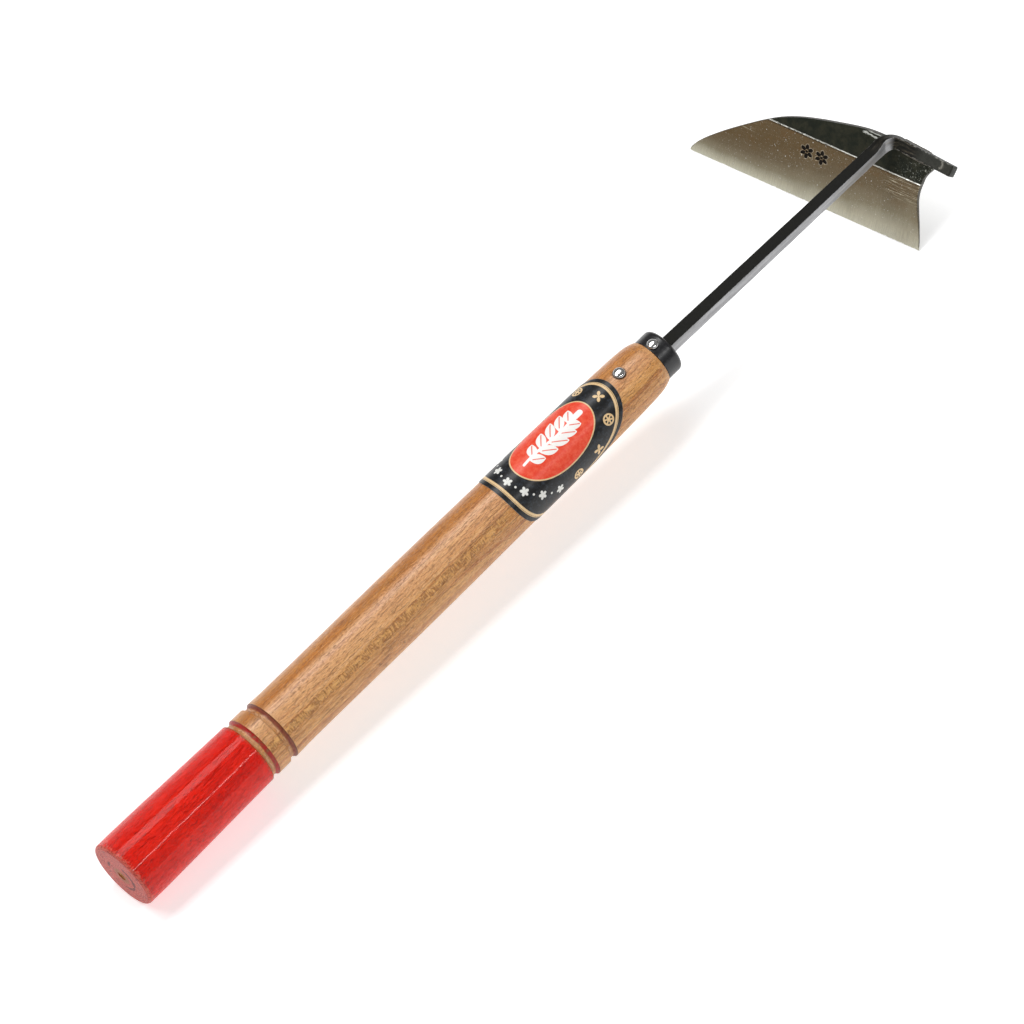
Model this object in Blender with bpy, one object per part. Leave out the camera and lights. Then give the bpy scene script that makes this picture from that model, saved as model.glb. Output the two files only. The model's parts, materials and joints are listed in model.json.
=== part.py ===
"""Hand weeding sickle with a cranked, twisted neck.

Built along its own handle first (the "tool frame": +X from the butt face to the
blade, +Z through the heads of the two pins, millimetres), then laid on the ground
the way it comes to rest: on the rim of the butt and on the whole cutting edge.
Object files are in metres, +Z up.
"""

import math

import bpy
import numpy as np
from mathutils import Matrix, Vector

MM = 0.001

# ---------------------------------------------------------------- dimensions, mm
# Handle, turned from one piece of open-grained hardwood
HANDLE_LENGTH = 300.0
HANDLE_SEGMENTS = 56
BUTT_RADIUS = 15.28
BUTT_EDGE_ROUND = 1.5
GRIP_RADIUS = 13.64
SHOULDER_RADIUS = 10.3
# Turned outside of the handle: (distance from the butt, radius)
HANDLE_TAPER = (
    (0.0, BUTT_RADIUS), (11.0, 15.28), (24.0, 15.05), (40.0, 14.66), (56.0, 14.32),
    (70.0, 14.05), (85.0, 13.88), (94.0, 13.66), (117.0, GRIP_RADIUS), (150.0, 13.68),
    (178.0, 13.55), (194.0, 13.42), (210.0, 13.25), (227.0, 13.1), (243.0, 12.95),
    (260.0, 12.78), (268.0, 12.66), (276.0, 12.46), (284.5, 12.23), (289.5, 12.04),
    (292.8, 11.84), (295.6, 11.55), (297.6, 11.12), (299.0, 10.7), (300.0, SHOULDER_RADIUS),
)
GROOVE_CENTRES = (72.4, 82.3)
GROOVE_WIDTH = 3.8
GROOVE_DEPTH = 1.15
TENON_RADIUS = 8.9
TENON_END = 306.8
LATHE_CENTRE_RADIUS = 1.5
LATHE_CENTRE_DEPTH = 2.0
CLEARANCE = 0.1

# Red lacquer, dipped over the butt end
LACQUER_THICKNESS = 0.3
LACQUER_END = 70.4

# Ferrule: a cup pressed over the tenon
FERRULE_START = 300.2
FERRULE_END = 308.2
FERRULE_RADIUS = 9.9
FERRULE_BORE_RADIUS = 9.0
FERRULE_PLATE = 1.2
FERRULE_ROUND = 1.7
FERRULE_HOLE = 7.0

# Neck: one forged bar, tang in the handle, cranked and twisted at the blade
TANG_START = 214.0
TANG_TIP = (2.6, 2.6)
BAR_AT_FERRULE = (5.8, 6.3)
BAR_AT_BEND = (4.9, 5.6)
LEG_SECTION = (5.0, 4.8)
BAR_CORNER = 0.45
NECK_CORNER = (436.5, -2.6, 0.0)
BEND_RADIUS = 6.0
LEG_LENGTH = 31.4
SOCKET_GAP = 0.25

# Pins through the handle and the ferrule
PIN_RADIUS = 1.2
PIN_HOLE_RADIUS = 1.4
PIN_HEAD_RADIUS = 2.5
PIN_HEAD_HEIGHT = 1.35
HANDLE_PIN_DEPTH = 19.0
FERRULE_PIN_DEPTH = 17.0
PIN_HOLE_SPARE = 0.6
HANDLE_PIN_X = 284.0
FERRULE_PIN_X = 302.9
FERRULE_PIN_HEAD_RADIUS = 2.35

# Blade, in its own plane: a along the cutting edge from the tip, b up to the spine
BLADE_EDGE_LENGTH = 111.2
BLADE_THICKNESS = 2.5
EDGE_THICKNESS = 0.3
BEVEL_WIDTH = 27.0
BLADE_SPINE = (
    (0.2, 1.3), (1.5, 3.3), (3.4, 5.5), (6.4, 8.3), (9.7, 11.0), (12.9, 13.5), (16.2, 15.9),
    (19.6, 18.3), (23.7, 21.1), (27.9, 23.9), (32.3, 26.6), (36.3, 28.8), (40.6, 30.8), (45.1, 32.5),
    (49.6, 33.9), (54.1, 35.1), (58.6, 36.2), (63.2, 37.2), (67.8, 38.2), (72.4, 39.1), (77.0, 39.8),
    (82.0, 40.1), (90.0, 40.1), (100.0, 39.6), (107.6, 38.9),
)
BLADE_HEEL = (
    (109.4, 38.3), (110.2, 37.0), (109.4, 34.6), (107.7, 32.0), (106.7, 29.8), (106.2, 27.0), (105.8, 24.3),
    (105.8, 21.9), (106.1, 19.6), (106.7, 17.2), (107.7, 13.8), (108.8, 10.2), (109.8, 6.6), (110.6, 3.6),
)
# Angles of the blade in the tool frame
EDGE_YAW = 10.3
EDGE_RISE = 4.6
BLADE_LEAN = 40.7
# Where the crank's corner stands over the blade: along the edge, up from it, off its back
CRANK_ON_BLADE = (89.2, 41.4, 5.2)
LEG_DROP = 4.1
LEG_ROLL = 18.0

# Label wrapped round the upper grip
LABEL_START = 212.9
LABEL_END = 278.3
LABEL_THICKNESS = 0.15
LABEL_HALF_WRAP = 125.0
LABEL_TURN = 4.0
LABEL_ARCH = 45.0
LABEL_BUTT_CURVE = 12.5

COLOURS = {
    "handle": (0.62, 0.30, 0.12), "lacquer_coat": (0.72, 0.02, 0.01), "ferrule": (0.012, 0.012, 0.013),
    "neck": (0.035, 0.034, 0.032), "blade": (0.30, 0.27, 0.22), "weld_bead_front": (0.11, 0.10, 0.09),
    "weld_bead_back": (0.10, 0.09, 0.08), "handle_pin": (0.80, 0.80, 0.82), "ferrule_pin": (0.82, 0.82, 0.80),
    "label": (0.02, 0.02, 0.025),
}
METALS = {"neck", "blade", "weld_bead_front", "weld_bead_back", "handle_pin", "ferrule_pin"}
ROUGHNESS = {
    "handle": 0.42, "lacquer_coat": 0.22, "ferrule": 0.38, "neck": 0.5, "blade": 0.38,
    "weld_bead_front": 0.55, "weld_bead_back": 0.6, "handle_pin": 0.12, "ferrule_pin": 0.14, "label": 0.35,
}


# ---------------------------------------------------------------------- helpers
def clear_scene():
    for obj in list(bpy.data.objects):
        bpy.data.objects.remove(obj, do_unlink=True)


def finish_for(name):
    material = bpy.data.materials.new(name + "_finish")
    material.use_nodes = True
    shader = next(n for n in material.node_tree.nodes if n.type == "BSDF_PRINCIPLED")
    shader.inputs["Base Color"].default_value = (*COLOURS[name], 1.0)
    shader.inputs["Metallic"].default_value = 1.0 if name in METALS else 0.0
    shader.inputs["Roughness"].default_value = ROUGHNESS[name]
    return material


def mesh_object(name, points, faces, cutter=False):
    mesh = bpy.data.meshes.new(name)
    mesh.from_pydata([tuple(c * MM for c in p) for p in points], [], faces)
    mesh.validate()
    obj = bpy.data.objects.new(name, mesh)
    bpy.context.scene.collection.objects.link(obj)
    if cutter:
        obj.hide_render = True
        obj.display_type = "WIRE"
    else:
        mesh.materials.append(finish_for(name))
    return obj


def turned(profile, segments, closed, place):
    """Points and faces of a profile of (height, radius) turned about an axis. place maps (height, radius, angle) to a point.
    An open profile starts and ends on the axis; a closed one is a ring."""
    points, rows = [], []
    for height, radius in profile:
        if radius < 1e-9:
            rows.append([len(points)])
            points.append(place(height, 0.0, 0.0))
        else:
            rows.append(list(range(len(points), len(points) + segments)))
            points += [place(height, radius, 2 * math.pi * k / segments) for k in range(segments)]
    faces = []
    pairs = list(zip(rows, rows[1:] + rows[:1])) if closed else list(zip(rows, rows[1:]))
    for low, high in pairs:
        for k in range(segments):
            n = (k + 1) % segments
            if len(low) == 1:
                faces.append((low[0], high[n], high[k]))
            elif len(high) == 1:
                faces.append((low[k], low[n], high[0]))
            else:
                faces.append((low[k], low[n], high[n], high[k]))
    return points, faces


def about_x(height, radius, angle):
    return (height, -radius * math.sin(angle), radius * math.cos(angle))


def swept(sections):
    """Points and faces of a closed solid through equal rings of points."""
    points, faces, n = [], [], len(sections[0])
    for ring in sections:
        points += [tuple(p) for p in ring]
    for i in range(len(sections) - 1):
        for k in range(n):
            m = (k + 1) % n
            faces.append((i * n + k, i * n + m, (i + 1) * n + m, (i + 1) * n + k))
    faces.append(tuple(reversed(range(n))))
    faces.append(tuple(range((len(sections) - 1) * n, len(sections) * n)))
    return points, faces


def outward(obj):
    """Turns the faces of a closed mesh outwards."""
    mesh = obj.data
    mesh.calc_loop_triangles()
    volume = sum(
        mesh.vertices[t.vertices[0]].co.dot(mesh.vertices[t.vertices[1]].co.cross(mesh.vertices[t.vertices[2]].co))
        for t in mesh.loop_triangles
    )
    if volume < 0:
        mesh.flip_normals()
    return obj


def cut(obj, cutter):
    modifier = obj.modifiers.new("cut_" + cutter.name, "BOOLEAN")
    modifier.operation = "DIFFERENCE"
    modifier.solver = "EXACT"
    modifier.object = cutter


def arc(centre, radius, start, end, steps):
    """Points of a quarter-round in a profile, angles in degrees from the axis direction."""
    return [
        (centre[0] + radius * math.cos(math.radians(start + (end - start) * i / steps)),
         centre[1] + radius * math.sin(math.radians(start + (end - start) * i / steps)))
        for i in range(steps + 1)
    ]


def between(x, table):
    xs, ys = zip(*table)
    return float(np.interp(x, xs, ys))


def handle_radius(x):
    return between(x, HANDLE_TAPER)


# ------------------------------------------------------------- frames of the bar
def unit(v):
    v = np.asarray(v, float)
    return v / np.linalg.norm(v)


def blade_axes():
    """Along the cutting edge to the heel, up the blade to its spine, and out of the ground face."""
    yaw, rise, lean = (math.radians(a) for a in (EDGE_YAW, EDGE_RISE, BLADE_LEAN))
    along = np.array([math.sin(yaw) * math.cos(rise), -math.cos(yaw) * math.cos(rise), math.sin(rise)])
    upright = unit(np.array([0, 0, 1.0]) - along * along[2])
    forward = np.cross(along, upright)
    forward = forward if forward[0] > 0 else -forward
    up = math.cos(lean) * upright + math.sin(lean) * forward
    face = math.sin(lean) * upright - math.cos(lean) * forward
    return along, up, face


ALONG, UP, FACE = blade_axes()
CORNER = np.array(NECK_CORNER)
BLADE_ORIGIN = CORNER - CRANK_ON_BLADE[0] * ALONG - CRANK_ON_BLADE[1] * UP - CRANK_ON_BLADE[2] * FACE
LEG_AXIS = unit(math.cos(math.radians(LEG_DROP)) * ALONG - math.sin(math.radians(LEG_DROP)) * UP)
LEG_FACE = math.cos(math.radians(LEG_ROLL)) * FACE + math.sin(math.radians(LEG_ROLL)) * UP
LEG_FACE = unit(LEG_FACE - LEG_AXIS * (LEG_FACE @ LEG_AXIS))
LEG_TOP = np.cross(LEG_AXIS, LEG_FACE)
LEG_TOP = LEG_TOP if LEG_TOP @ UP > 0 else -LEG_TOP


def on_blade(a, b, c):
    """A point of the blade: along the edge, up from it, and off its flat back."""
    return BLADE_ORIGIN + a * ALONG + b * UP + c * FACE


def bar_ring(centre, side, top, half_side, half_top, corner):
    """A rounded square: side is the outward normal of the inner face of the crank, top that of the upper face."""
    ring = []
    for sx, sy in ((1, 1), (-1, 1), (-1, -1), (1, -1)):
        start = {(1, 1): 0, (-1, 1): 90, (-1, -1): 180, (1, -1): 270}[(sx, sy)]
        for angle in (start, start + 45, start + 90):
            x = sx * (half_side - corner) + corner * math.cos(math.radians(angle))
            y = sy * (half_top - corner) + corner * math.sin(math.radians(angle))
            ring.append(centre + x * side + y * top)
    return ring


def turn_about(vector, axis, angle):
    return np.array(Matrix.Rotation(angle, 3, Vector(axis)) @ Vector(vector))


def neck_stations():
    """(centre, side, top, half side, half top) from the tang's point to the end of the leg."""
    start = np.array([FERRULE_END, 0.0, 0.0])
    shank = unit(CORNER - start)
    turn = math.acos(float(shank @ LEG_AXIS))
    tangent_length = BEND_RADIUS * math.tan(turn / 2)
    hinge = unit(np.cross(shank, LEG_AXIS))
    bend_start = CORNER - shank * tangent_length
    bend_end = CORNER + LEG_AXIS * tangent_length
    bend_centre = bend_start + unit(np.cross(hinge, shank)) * BEND_RADIUS
    top0 = unit(np.array([0, 0, 1.0]) - shank * shank[2])
    side0 = unit(np.cross(top0, shank))
    side0 = side0 if side0[1] < 0 else -side0
    # the twist left over after the bar has turned the corner
    side_end = turn_about(side0, hinge, turn)
    twist = math.atan2(float(np.cross(side_end, LEG_FACE) @ LEG_AXIS), float(side_end @ LEG_FACE))
    stations = []

    def add(centre, direction, bend_angle, share, half_side, half_top):
        side, top = turn_about(side0, hinge, bend_angle), turn_about(top0, hinge, bend_angle)
        if share:
            side, top = turn_about(side, direction, twist * share), turn_about(top, direction, twist * share)
        stations.append((centre, side, top, half_side, half_top))

    plain_side, plain_top = np.array([0, -1.0, 0]), np.array([0, 0, 1.0])
    for x in np.linspace(TANG_START, FERRULE_END, 12):
        share = (x - TANG_START) / (FERRULE_END - TANG_START)
        size = [
            TANG_TIP[i] + (BAR_AT_FERRULE[i] - TANG_TIP[i]) * min(1.0, share / 0.82) ** 0.8 for i in range(2)
        ]
        stations.append((np.array([x, 0, 0.0]), plain_side, plain_top, size[0] / 2, size[1] / 2))
    before, after = 5.0, 3.0
    length = float(np.linalg.norm(bend_start - start))
    total = before + BEND_RADIUS * turn + after
    for d in list(np.linspace(4.0, length - before, 8)) + list(np.linspace(length - before + 1.25, length, 4)):
        k = d / length
        share = max(0.0, (d - (length - before)) / total)
        share = share * share * (3 - 2 * share)
        add(start + shank * d, shank, 0.0, share,
            (BAR_AT_FERRULE[0] + (BAR_AT_BEND[0] - BAR_AT_FERRULE[0]) * k) / 2,
            (BAR_AT_FERRULE[1] + (BAR_AT_BEND[1] - BAR_AT_FERRULE[1]) * k) / 2)
    for i in range(1, 9):
        angle = turn * i / 8
        share = (before + BEND_RADIUS * angle) / total
        share = share * share * (3 - 2 * share)
        direction = turn_about(shank, hinge, angle)
        centre = bend_centre + turn_about(bend_start - bend_centre, hinge, angle)
        k = i / 8
        add(centre, direction, angle, share,
            (BAR_AT_BEND[0] + (LEG_SECTION[0] - BAR_AT_BEND[0]) * k) / 2,
            (BAR_AT_BEND[1] + (LEG_SECTION[1] - BAR_AT_BEND[1]) * k) / 2)
    leg = LEG_LENGTH - tangent_length
    for d in list(np.linspace(1.0, after, 3)) + list(np.linspace(after + 3, leg - 0.9, 5)):
        share = min(1.0, (before + BEND_RADIUS * turn + d) / total)
        share = share * share * (3 - 2 * share)
        add(bend_end + LEG_AXIS * d, LEG_AXIS, turn, share, LEG_SECTION[0] / 2, LEG_SECTION[1] / 2)
    for d, inset in ((leg - 0.3, 0.15), (leg, 0.5)):
        add(bend_end + LEG_AXIS * d, LEG_AXIS, turn, 1.0, LEG_SECTION[0] / 2 - inset, LEG_SECTION[1] / 2 - inset)
    return stations


# ------------------------------------------------------------------------ parts
def groove_depth(x):
    for centre in GROOVE_CENTRES:
        share = (x - centre) / (GROOVE_WIDTH / 2)
        if abs(share) < 1:
            return GROOVE_DEPTH * (1 - share * share) ** 0.75
    return 0.0


def handle_profile():
    under = LACQUER_THICKNESS + CLEARANCE
    profile = [(under + LATHE_CENTRE_DEPTH, 0.0), (under, LATHE_CENTRE_RADIUS)]
    radius = BUTT_RADIUS - under
    profile += [(under + BUTT_EDGE_ROUND - x, radius - BUTT_EDGE_ROUND + y)
                for x, y in arc((0, 0), BUTT_EDGE_ROUND, 0, 90, 4)]
    for x in (11.0, 24.0, 40.0, 56.0, LACQUER_END - 0.05):
        profile.append((x, handle_radius(x) - under))
    profile.append((LACQUER_END + 0.05, handle_radius(LACQUER_END)))
    xs = []
    for centre in GROOVE_CENTRES:
        xs += [centre + GROOVE_WIDTH / 2 * s for s in (-1.0, -0.93, -0.7, -0.35, 0.0, 0.35, 0.7, 0.93, 1.0)]
        xs.append(centre + GROOVE_WIDTH / 2 + 2.0)
    xs = [x for x in xs if x > LACQUER_END + 0.3]
    xs += [x for x, _ in HANDLE_TAPER if x > max(xs) + 1]
    profile += [(x, handle_radius(x) - groove_depth(x)) for x in xs]
    profile += [(HANDLE_LENGTH, TENON_RADIUS), (TENON_END - 0.6, TENON_RADIUS), (TENON_END, TENON_RADIUS - 0.6), (TENON_END, 0.0)]
    return profile


def socket_cutter(stations):
    """The tapered square hole that the tang fills, a little larger than the tang all round."""
    rings = []
    inside = [s for s in stations if s[0][0] <= FERRULE_END + 0.01]
    first = inside[0]
    for shift, source in [(-1.0, first)] + [(0.0, s) for s in inside]:
        centre, side, top, half_side, half_top = source
        rings.append(bar_ring(centre + np.array([shift, 0, 0]), side, top, half_side + SOCKET_GAP, half_top + SOCKET_GAP, 0.3))
    points, faces = swept(rings)
    return outward(mesh_object("socket_cutter", points, faces, cutter=True))


def pin_cutter(name, x, bottom, top):
    profile = [(bottom, 0.0), (bottom, PIN_HOLE_RADIUS), (top, PIN_HOLE_RADIUS), (top, 0.0)]
    points, faces = turned(profile, 20, False, lambda h, r, a: (x + r * math.cos(a), r * math.sin(a), h))
    return outward(mesh_object(name, points, faces, cutter=True))


def make_handle(socket, pin_cutters):
    points, faces = turned(handle_profile(), HANDLE_SEGMENTS, False, about_x)
    handle = outward(mesh_object("handle", points, faces))
    for cutter in [socket] + pin_cutters:
        cut(handle, cutter)
    return handle


def make_lacquer():
    edge = BUTT_EDGE_ROUND
    inner = BUTT_RADIUS - LACQUER_THICKNESS
    xs = (11.0, 24.0, 40.0, 56.0, LACQUER_END)
    outside = [(0.0, LATHE_CENTRE_RADIUS + 0.5)]
    outside += [(edge - x, BUTT_RADIUS - edge + y) for x, y in arc((0, 0), edge, 0, 90, 4)]
    outside += [(x, handle_radius(x)) for x in xs]
    inside = [(x - 0.1 if x == LACQUER_END else x, handle_radius(x) - LACQUER_THICKNESS) for x in reversed(xs)]
    inside += [(LACQUER_THICKNESS + edge - x, inner - edge + y) for x, y in reversed(arc((0, 0), edge, 0, 90, 4))]
    inside += [(LACQUER_THICKNESS, LATHE_CENTRE_RADIUS + 0.5)]
    points, faces = turned(outside + inside, HANDLE_SEGMENTS, True, about_x)
    return outward(mesh_object("lacquer_coat", points, faces))


def make_ferrule(hole, pin_hole):
    outside = [(FERRULE_START, FERRULE_RADIUS), (FERRULE_END - FERRULE_ROUND, FERRULE_RADIUS)]
    outside += [(FERRULE_END - FERRULE_ROUND + x, FERRULE_RADIUS - FERRULE_ROUND + y)
                for x, y in reversed(arc((0, 0), FERRULE_ROUND, 0, 90, 5))][1:]
    profile = outside + [(FERRULE_END, 2.0), (FERRULE_END - FERRULE_PLATE, 2.0),
                         (FERRULE_END - FERRULE_PLATE, FERRULE_BORE_RADIUS), (FERRULE_START, FERRULE_BORE_RADIUS)]
    points, faces = turned(profile, HANDLE_SEGMENTS, True, about_x)
    ferrule = outward(mesh_object("ferrule", points, faces))
    cut(ferrule, hole)
    cut(ferrule, pin_hole)
    return ferrule


def ferrule_hole_cutter():
    half = FERRULE_HOLE / 2
    rings = [
        bar_ring(np.array([x, 0, 0.0]), np.array([0, -1.0, 0]), np.array([0, 0, 1.0]), half, half, 0.8)
        for x in (FERRULE_END - 3 * FERRULE_PLATE / 2, FERRULE_END + 2)
    ]
    points, faces = swept(rings)
    return outward(mesh_object("ferrule_hole_cutter", points, faces, cutter=True))


def make_neck(stations, pin_cutters):
    points, faces = swept([bar_ring(c, s, t, hs, ht, min(BAR_CORNER, hs / 3)) for c, s, t, hs, ht in stations])
    neck = outward(mesh_object("neck", points, faces))
    for cutter in pin_cutters:
        cut(neck, cutter)
    return neck


def pin(name, x, seat, head_radius, depth):
    """A nail with a domed head, driven straight down through the work."""
    dome = [(seat + PIN_HEAD_HEIGHT * math.sin(math.radians(a)) ** 0.9, head_radius * math.cos(math.radians(a)))
            for a in (12, 28, 44, 60, 75)]
    profile = [(seat - depth, 0.0), (seat - depth + 2.6, PIN_RADIUS), (seat, PIN_RADIUS),
               (seat, head_radius - 0.12), (seat + 0.14, head_radius)] + dome + [(seat + PIN_HEAD_HEIGHT, 0.0)]
    points, faces = turned(profile, 28, False, lambda h, r, a: (x + r * math.cos(a), r * math.sin(a), h))
    return outward(mesh_object(name, points, faces))


def smooth_line(corners, steps):
    """Points of a smooth open line through the corners."""
    out = []
    p = [np.array(c, float) for c in corners]
    p = [2 * p[0] - p[1]] + p + [2 * p[-1] - p[-2]]
    for i in range(1, len(p) - 2):
        for k in range(steps):
            t = k / steps
            out.append(0.5 * ((2 * p[i]) + (-p[i - 1] + p[i + 1]) * t + (2 * p[i - 1] - 5 * p[i] + 4 * p[i + 1] - p[i + 2]) * t ** 2
                              + (-p[i - 1] + 3 * p[i] - 3 * p[i + 1] + p[i + 2]) * t ** 3))
    out.append(p[-2])
    return out


def make_blade():
    """A plate, flat at the back, ground from the bevel line down to the cutting edge on its front."""
    outline = [np.array([0.0, 0.0])] + smooth_line(BLADE_SPINE, 2) + smooth_line(BLADE_HEEL, 2) + [np.array([BLADE_EDGE_LENGTH, 0.0])]
    ring = []
    for i, p in enumerate(outline):
        q = outline[(i + 1) % len(outline)]
        ring.append(p)
        if (p[1] - BEVEL_WIDTH) * (q[1] - BEVEL_WIDTH) < -1e-6:
            ring.append(p + (q - p) * (BEVEL_WIDTH - p[1]) / (q[1] - p[1]))
    n = len(ring)
    thickness = [EDGE_THICKNESS + (BLADE_THICKNESS - EDGE_THICKNESS) * min(1.0, p[1] / BEVEL_WIDTH) for p in ring]
    points = [on_blade(p[0], p[1], 0.0) for p in ring] + [on_blade(p[0], p[1], t) for p, t in zip(ring, thickness)]
    on_line = [i for i, p in enumerate(ring) if abs(p[1] - BEVEL_WIDTH) < 1e-3]
    first, last = on_line[0], on_line[-1]
    faces = [tuple(reversed(range(n)))]
    faces.append(tuple(n + i for i in range(first, last + 1)))
    faces.append(tuple(n + i for i in list(range(last, n)) + list(range(0, first + 1))))
    faces += [(i, (i + 1) % n, n + (i + 1) % n, n + i) for i in range(n)]
    return outward(mesh_object("blade", points, faces))


def bead(name, section, start, end, ripple, steps):
    """A weld bead along the leg: section gives (up the blade, off its front face) from the leg's centre line, mm."""
    front = BLADE_THICKNESS
    rings = []
    for i in range(steps + 1):
        k = i / steps
        d = start + (end - start) * k
        swell = (0.55 + 0.45 * math.sin(math.pi * min(1.0, 6 * min(k, 1 - k) / 2 + 0.02))) if min(k, 1 - k) < 1 / 6 else 1.0
        swell *= 1 + ripple * math.sin(i * 1.9)
        centre = CORNER + LEG_AXIS * d
        off = float((centre - BLADE_ORIGIN) @ FACE) - front
        base = section[0]
        rings.append([centre - FACE * off + UP * (base[0] + (v - base[0]) * (swell if free else 1.0))
                      + FACE * (base[1] + (c - base[1]) * (swell if free else 1.0)) for v, c, free in section])
    points, faces = swept(rings)
    return outward(mesh_object(name, points, faces))


def make_label():
    """A thin sleeve of paper, rounded like an arch towards the ferrule."""
    rows, columns = 40, 20
    middle, wrap = math.radians(LABEL_TURN), math.radians(LABEL_HALF_WRAP)
    layers = []
    for lift in (CLEARANCE, CLEARANCE + LABEL_THICKNESS):
        layer = []
        for i in range(rows + 1):
            share = -math.cos(math.pi * i / rows)
            angle = middle + wrap * share
            low = LABEL_START + LABEL_BUTT_CURVE * abs(share) ** 3
            high = LABEL_END - LABEL_ARCH * (1 - math.sqrt(max(0.0, 1 - share * share)))
            for j in range(columns + 1):
                x = low + (high - low) * j / columns
                layer.append(about_x(x, handle_radius(x) + lift, angle))
        layers.append(layer)
    size = (rows + 1) * (columns + 1)
    at = lambda layer, i, j: layer * size + i * (columns + 1) + j
    faces = []
    for i in range(rows):
        for j in range(columns):
            faces.append((at(1, i, j), at(1, i, j + 1), at(1, i + 1, j + 1), at(1, i + 1, j)))
            faces.append((at(0, i, j), at(0, i + 1, j), at(0, i + 1, j + 1), at(0, i, j + 1)))
    rim = [(i, 0) for i in range(rows)] + [(rows, j) for j in range(columns)]
    rim += [(i, columns) for i in range(rows, 0, -1)] + [(0, j) for j in range(columns, 0, -1)]
    for (i, j), (k, m) in zip(rim, rim[1:] + rim[:1]):
        faces.append((at(0, i, j), at(1, i, j), at(1, k, m), at(0, k, m)))
    return outward(mesh_object("label", layers[0] + layers[1], faces))


# --------------------------------------------------------------------- the rest
def resting_matrix(objects):
    """Lays the tool on the rim of its butt and on its cutting edge, with the middle of its footprint box at the origin."""
    tip, heel = on_blade(0, 0, 0), on_blade(BLADE_EDGE_LENGTH, 0, 0)
    normal = np.array([0.0, 0.0, 1.0])
    edge = BUTT_EDGE_ROUND
    for _ in range(30):
        across = unit(np.array([0.0, normal[1], normal[2]]))
        slope = math.atan2(normal[0], math.hypot(normal[1], normal[2]))
        rim = -across * (BUTT_RADIUS - edge + edge * math.cos(slope)) + np.array([edge - edge * math.sin(slope), 0, 0])
        normal = unit(np.cross(heel - tip, rim - tip))
        normal = normal if normal[2] > 0 else -normal
    forward = unit(np.array([1.0, 0, 0]) - normal * normal[0])
    left = np.cross(normal, forward)
    turn = Matrix([forward, left, normal]).to_4x4()
    bpy.context.view_layer.update()
    graph = bpy.context.evaluated_depsgraph_get()
    corners = []
    for obj in objects:
        evaluated = obj.evaluated_get(graph)
        mesh = evaluated.to_mesh()
        corners += [turn @ v.co for v in mesh.vertices]
        evaluated.to_mesh_clear()
    low = [min(c[i] for c in corners) for i in range(3)]
    high = [max(c[i] for c in corners) for i in range(3)]
    return Matrix.Translation((-(low[0] + high[0]) / 2, -(low[1] + high[1]) / 2, -low[2])) @ turn


def main():
    clear_scene()
    stations = neck_stations()
    socket = socket_cutter(stations)
    handle_seat = handle_radius(HANDLE_PIN_X) + CLEARANCE
    ferrule_seat = FERRULE_RADIUS + CLEARANCE
    pin_cutters = [
        pin_cutter("handle_pin_cutter", HANDLE_PIN_X, handle_seat - HANDLE_PIN_DEPTH - PIN_HOLE_SPARE, 20.0),
        pin_cutter("ferrule_pin_cutter", FERRULE_PIN_X, ferrule_seat - FERRULE_PIN_DEPTH - PIN_HOLE_SPARE, 20.0),
    ]
    ferrule_pin_depth_hole = pin_cutter("ferrule_wall_cutter", FERRULE_PIN_X, 5.0, 20.0)
    objects = [
        make_handle(socket, pin_cutters),
        make_lacquer(),
        make_ferrule(ferrule_hole_cutter(), ferrule_pin_depth_hole),
        make_neck(stations, pin_cutters),
        make_blade(),
        bead("weld_bead_front",
             [(-2.0, 0.2, False), (-4.3, 0.2, True), (-4.25, 0.5, True), (-3.95, 1.2, True), (-3.55, 1.8, True),
              (-3.12, 2.1, False), (-3.36, 1.1, False), (-2.0, 0.42, False)],
             5.0, 19.5, 0.05, 36),
        bead("weld_bead_back",
             [(-0.75, -2.25, False), (-0.75, 0.0, False), (1.25, -0.65, False), (1.55, -1.1, True), (1.3, -1.8, True),
              (0.5, -2.2, True)],
             3.5, 19.0, 0.05, 36),
        pin("handle_pin", HANDLE_PIN_X, handle_seat, PIN_HEAD_RADIUS, HANDLE_PIN_DEPTH),
        pin("ferrule_pin", FERRULE_PIN_X, ferrule_seat, FERRULE_PIN_HEAD_RADIUS, FERRULE_PIN_DEPTH),
        make_label(),
    ]
    rest = resting_matrix(objects)
    for obj in bpy.data.objects:
        obj.matrix_world = rest


main()
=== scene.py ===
"""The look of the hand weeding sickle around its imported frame.

Every visible piece is rebuilt finer than the CAD node it stands for, in the tool
frame (+X from the butt face to the blade, +Z through the pin heads, millimetres),
then laid in the row frame with REST. Materials read the tool frame through mesh
attributes, so grain, scratches and print stay at their real size.
"""

import json
import math

import bpy
import numpy as np
from mathutils import Matrix, Vector

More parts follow.
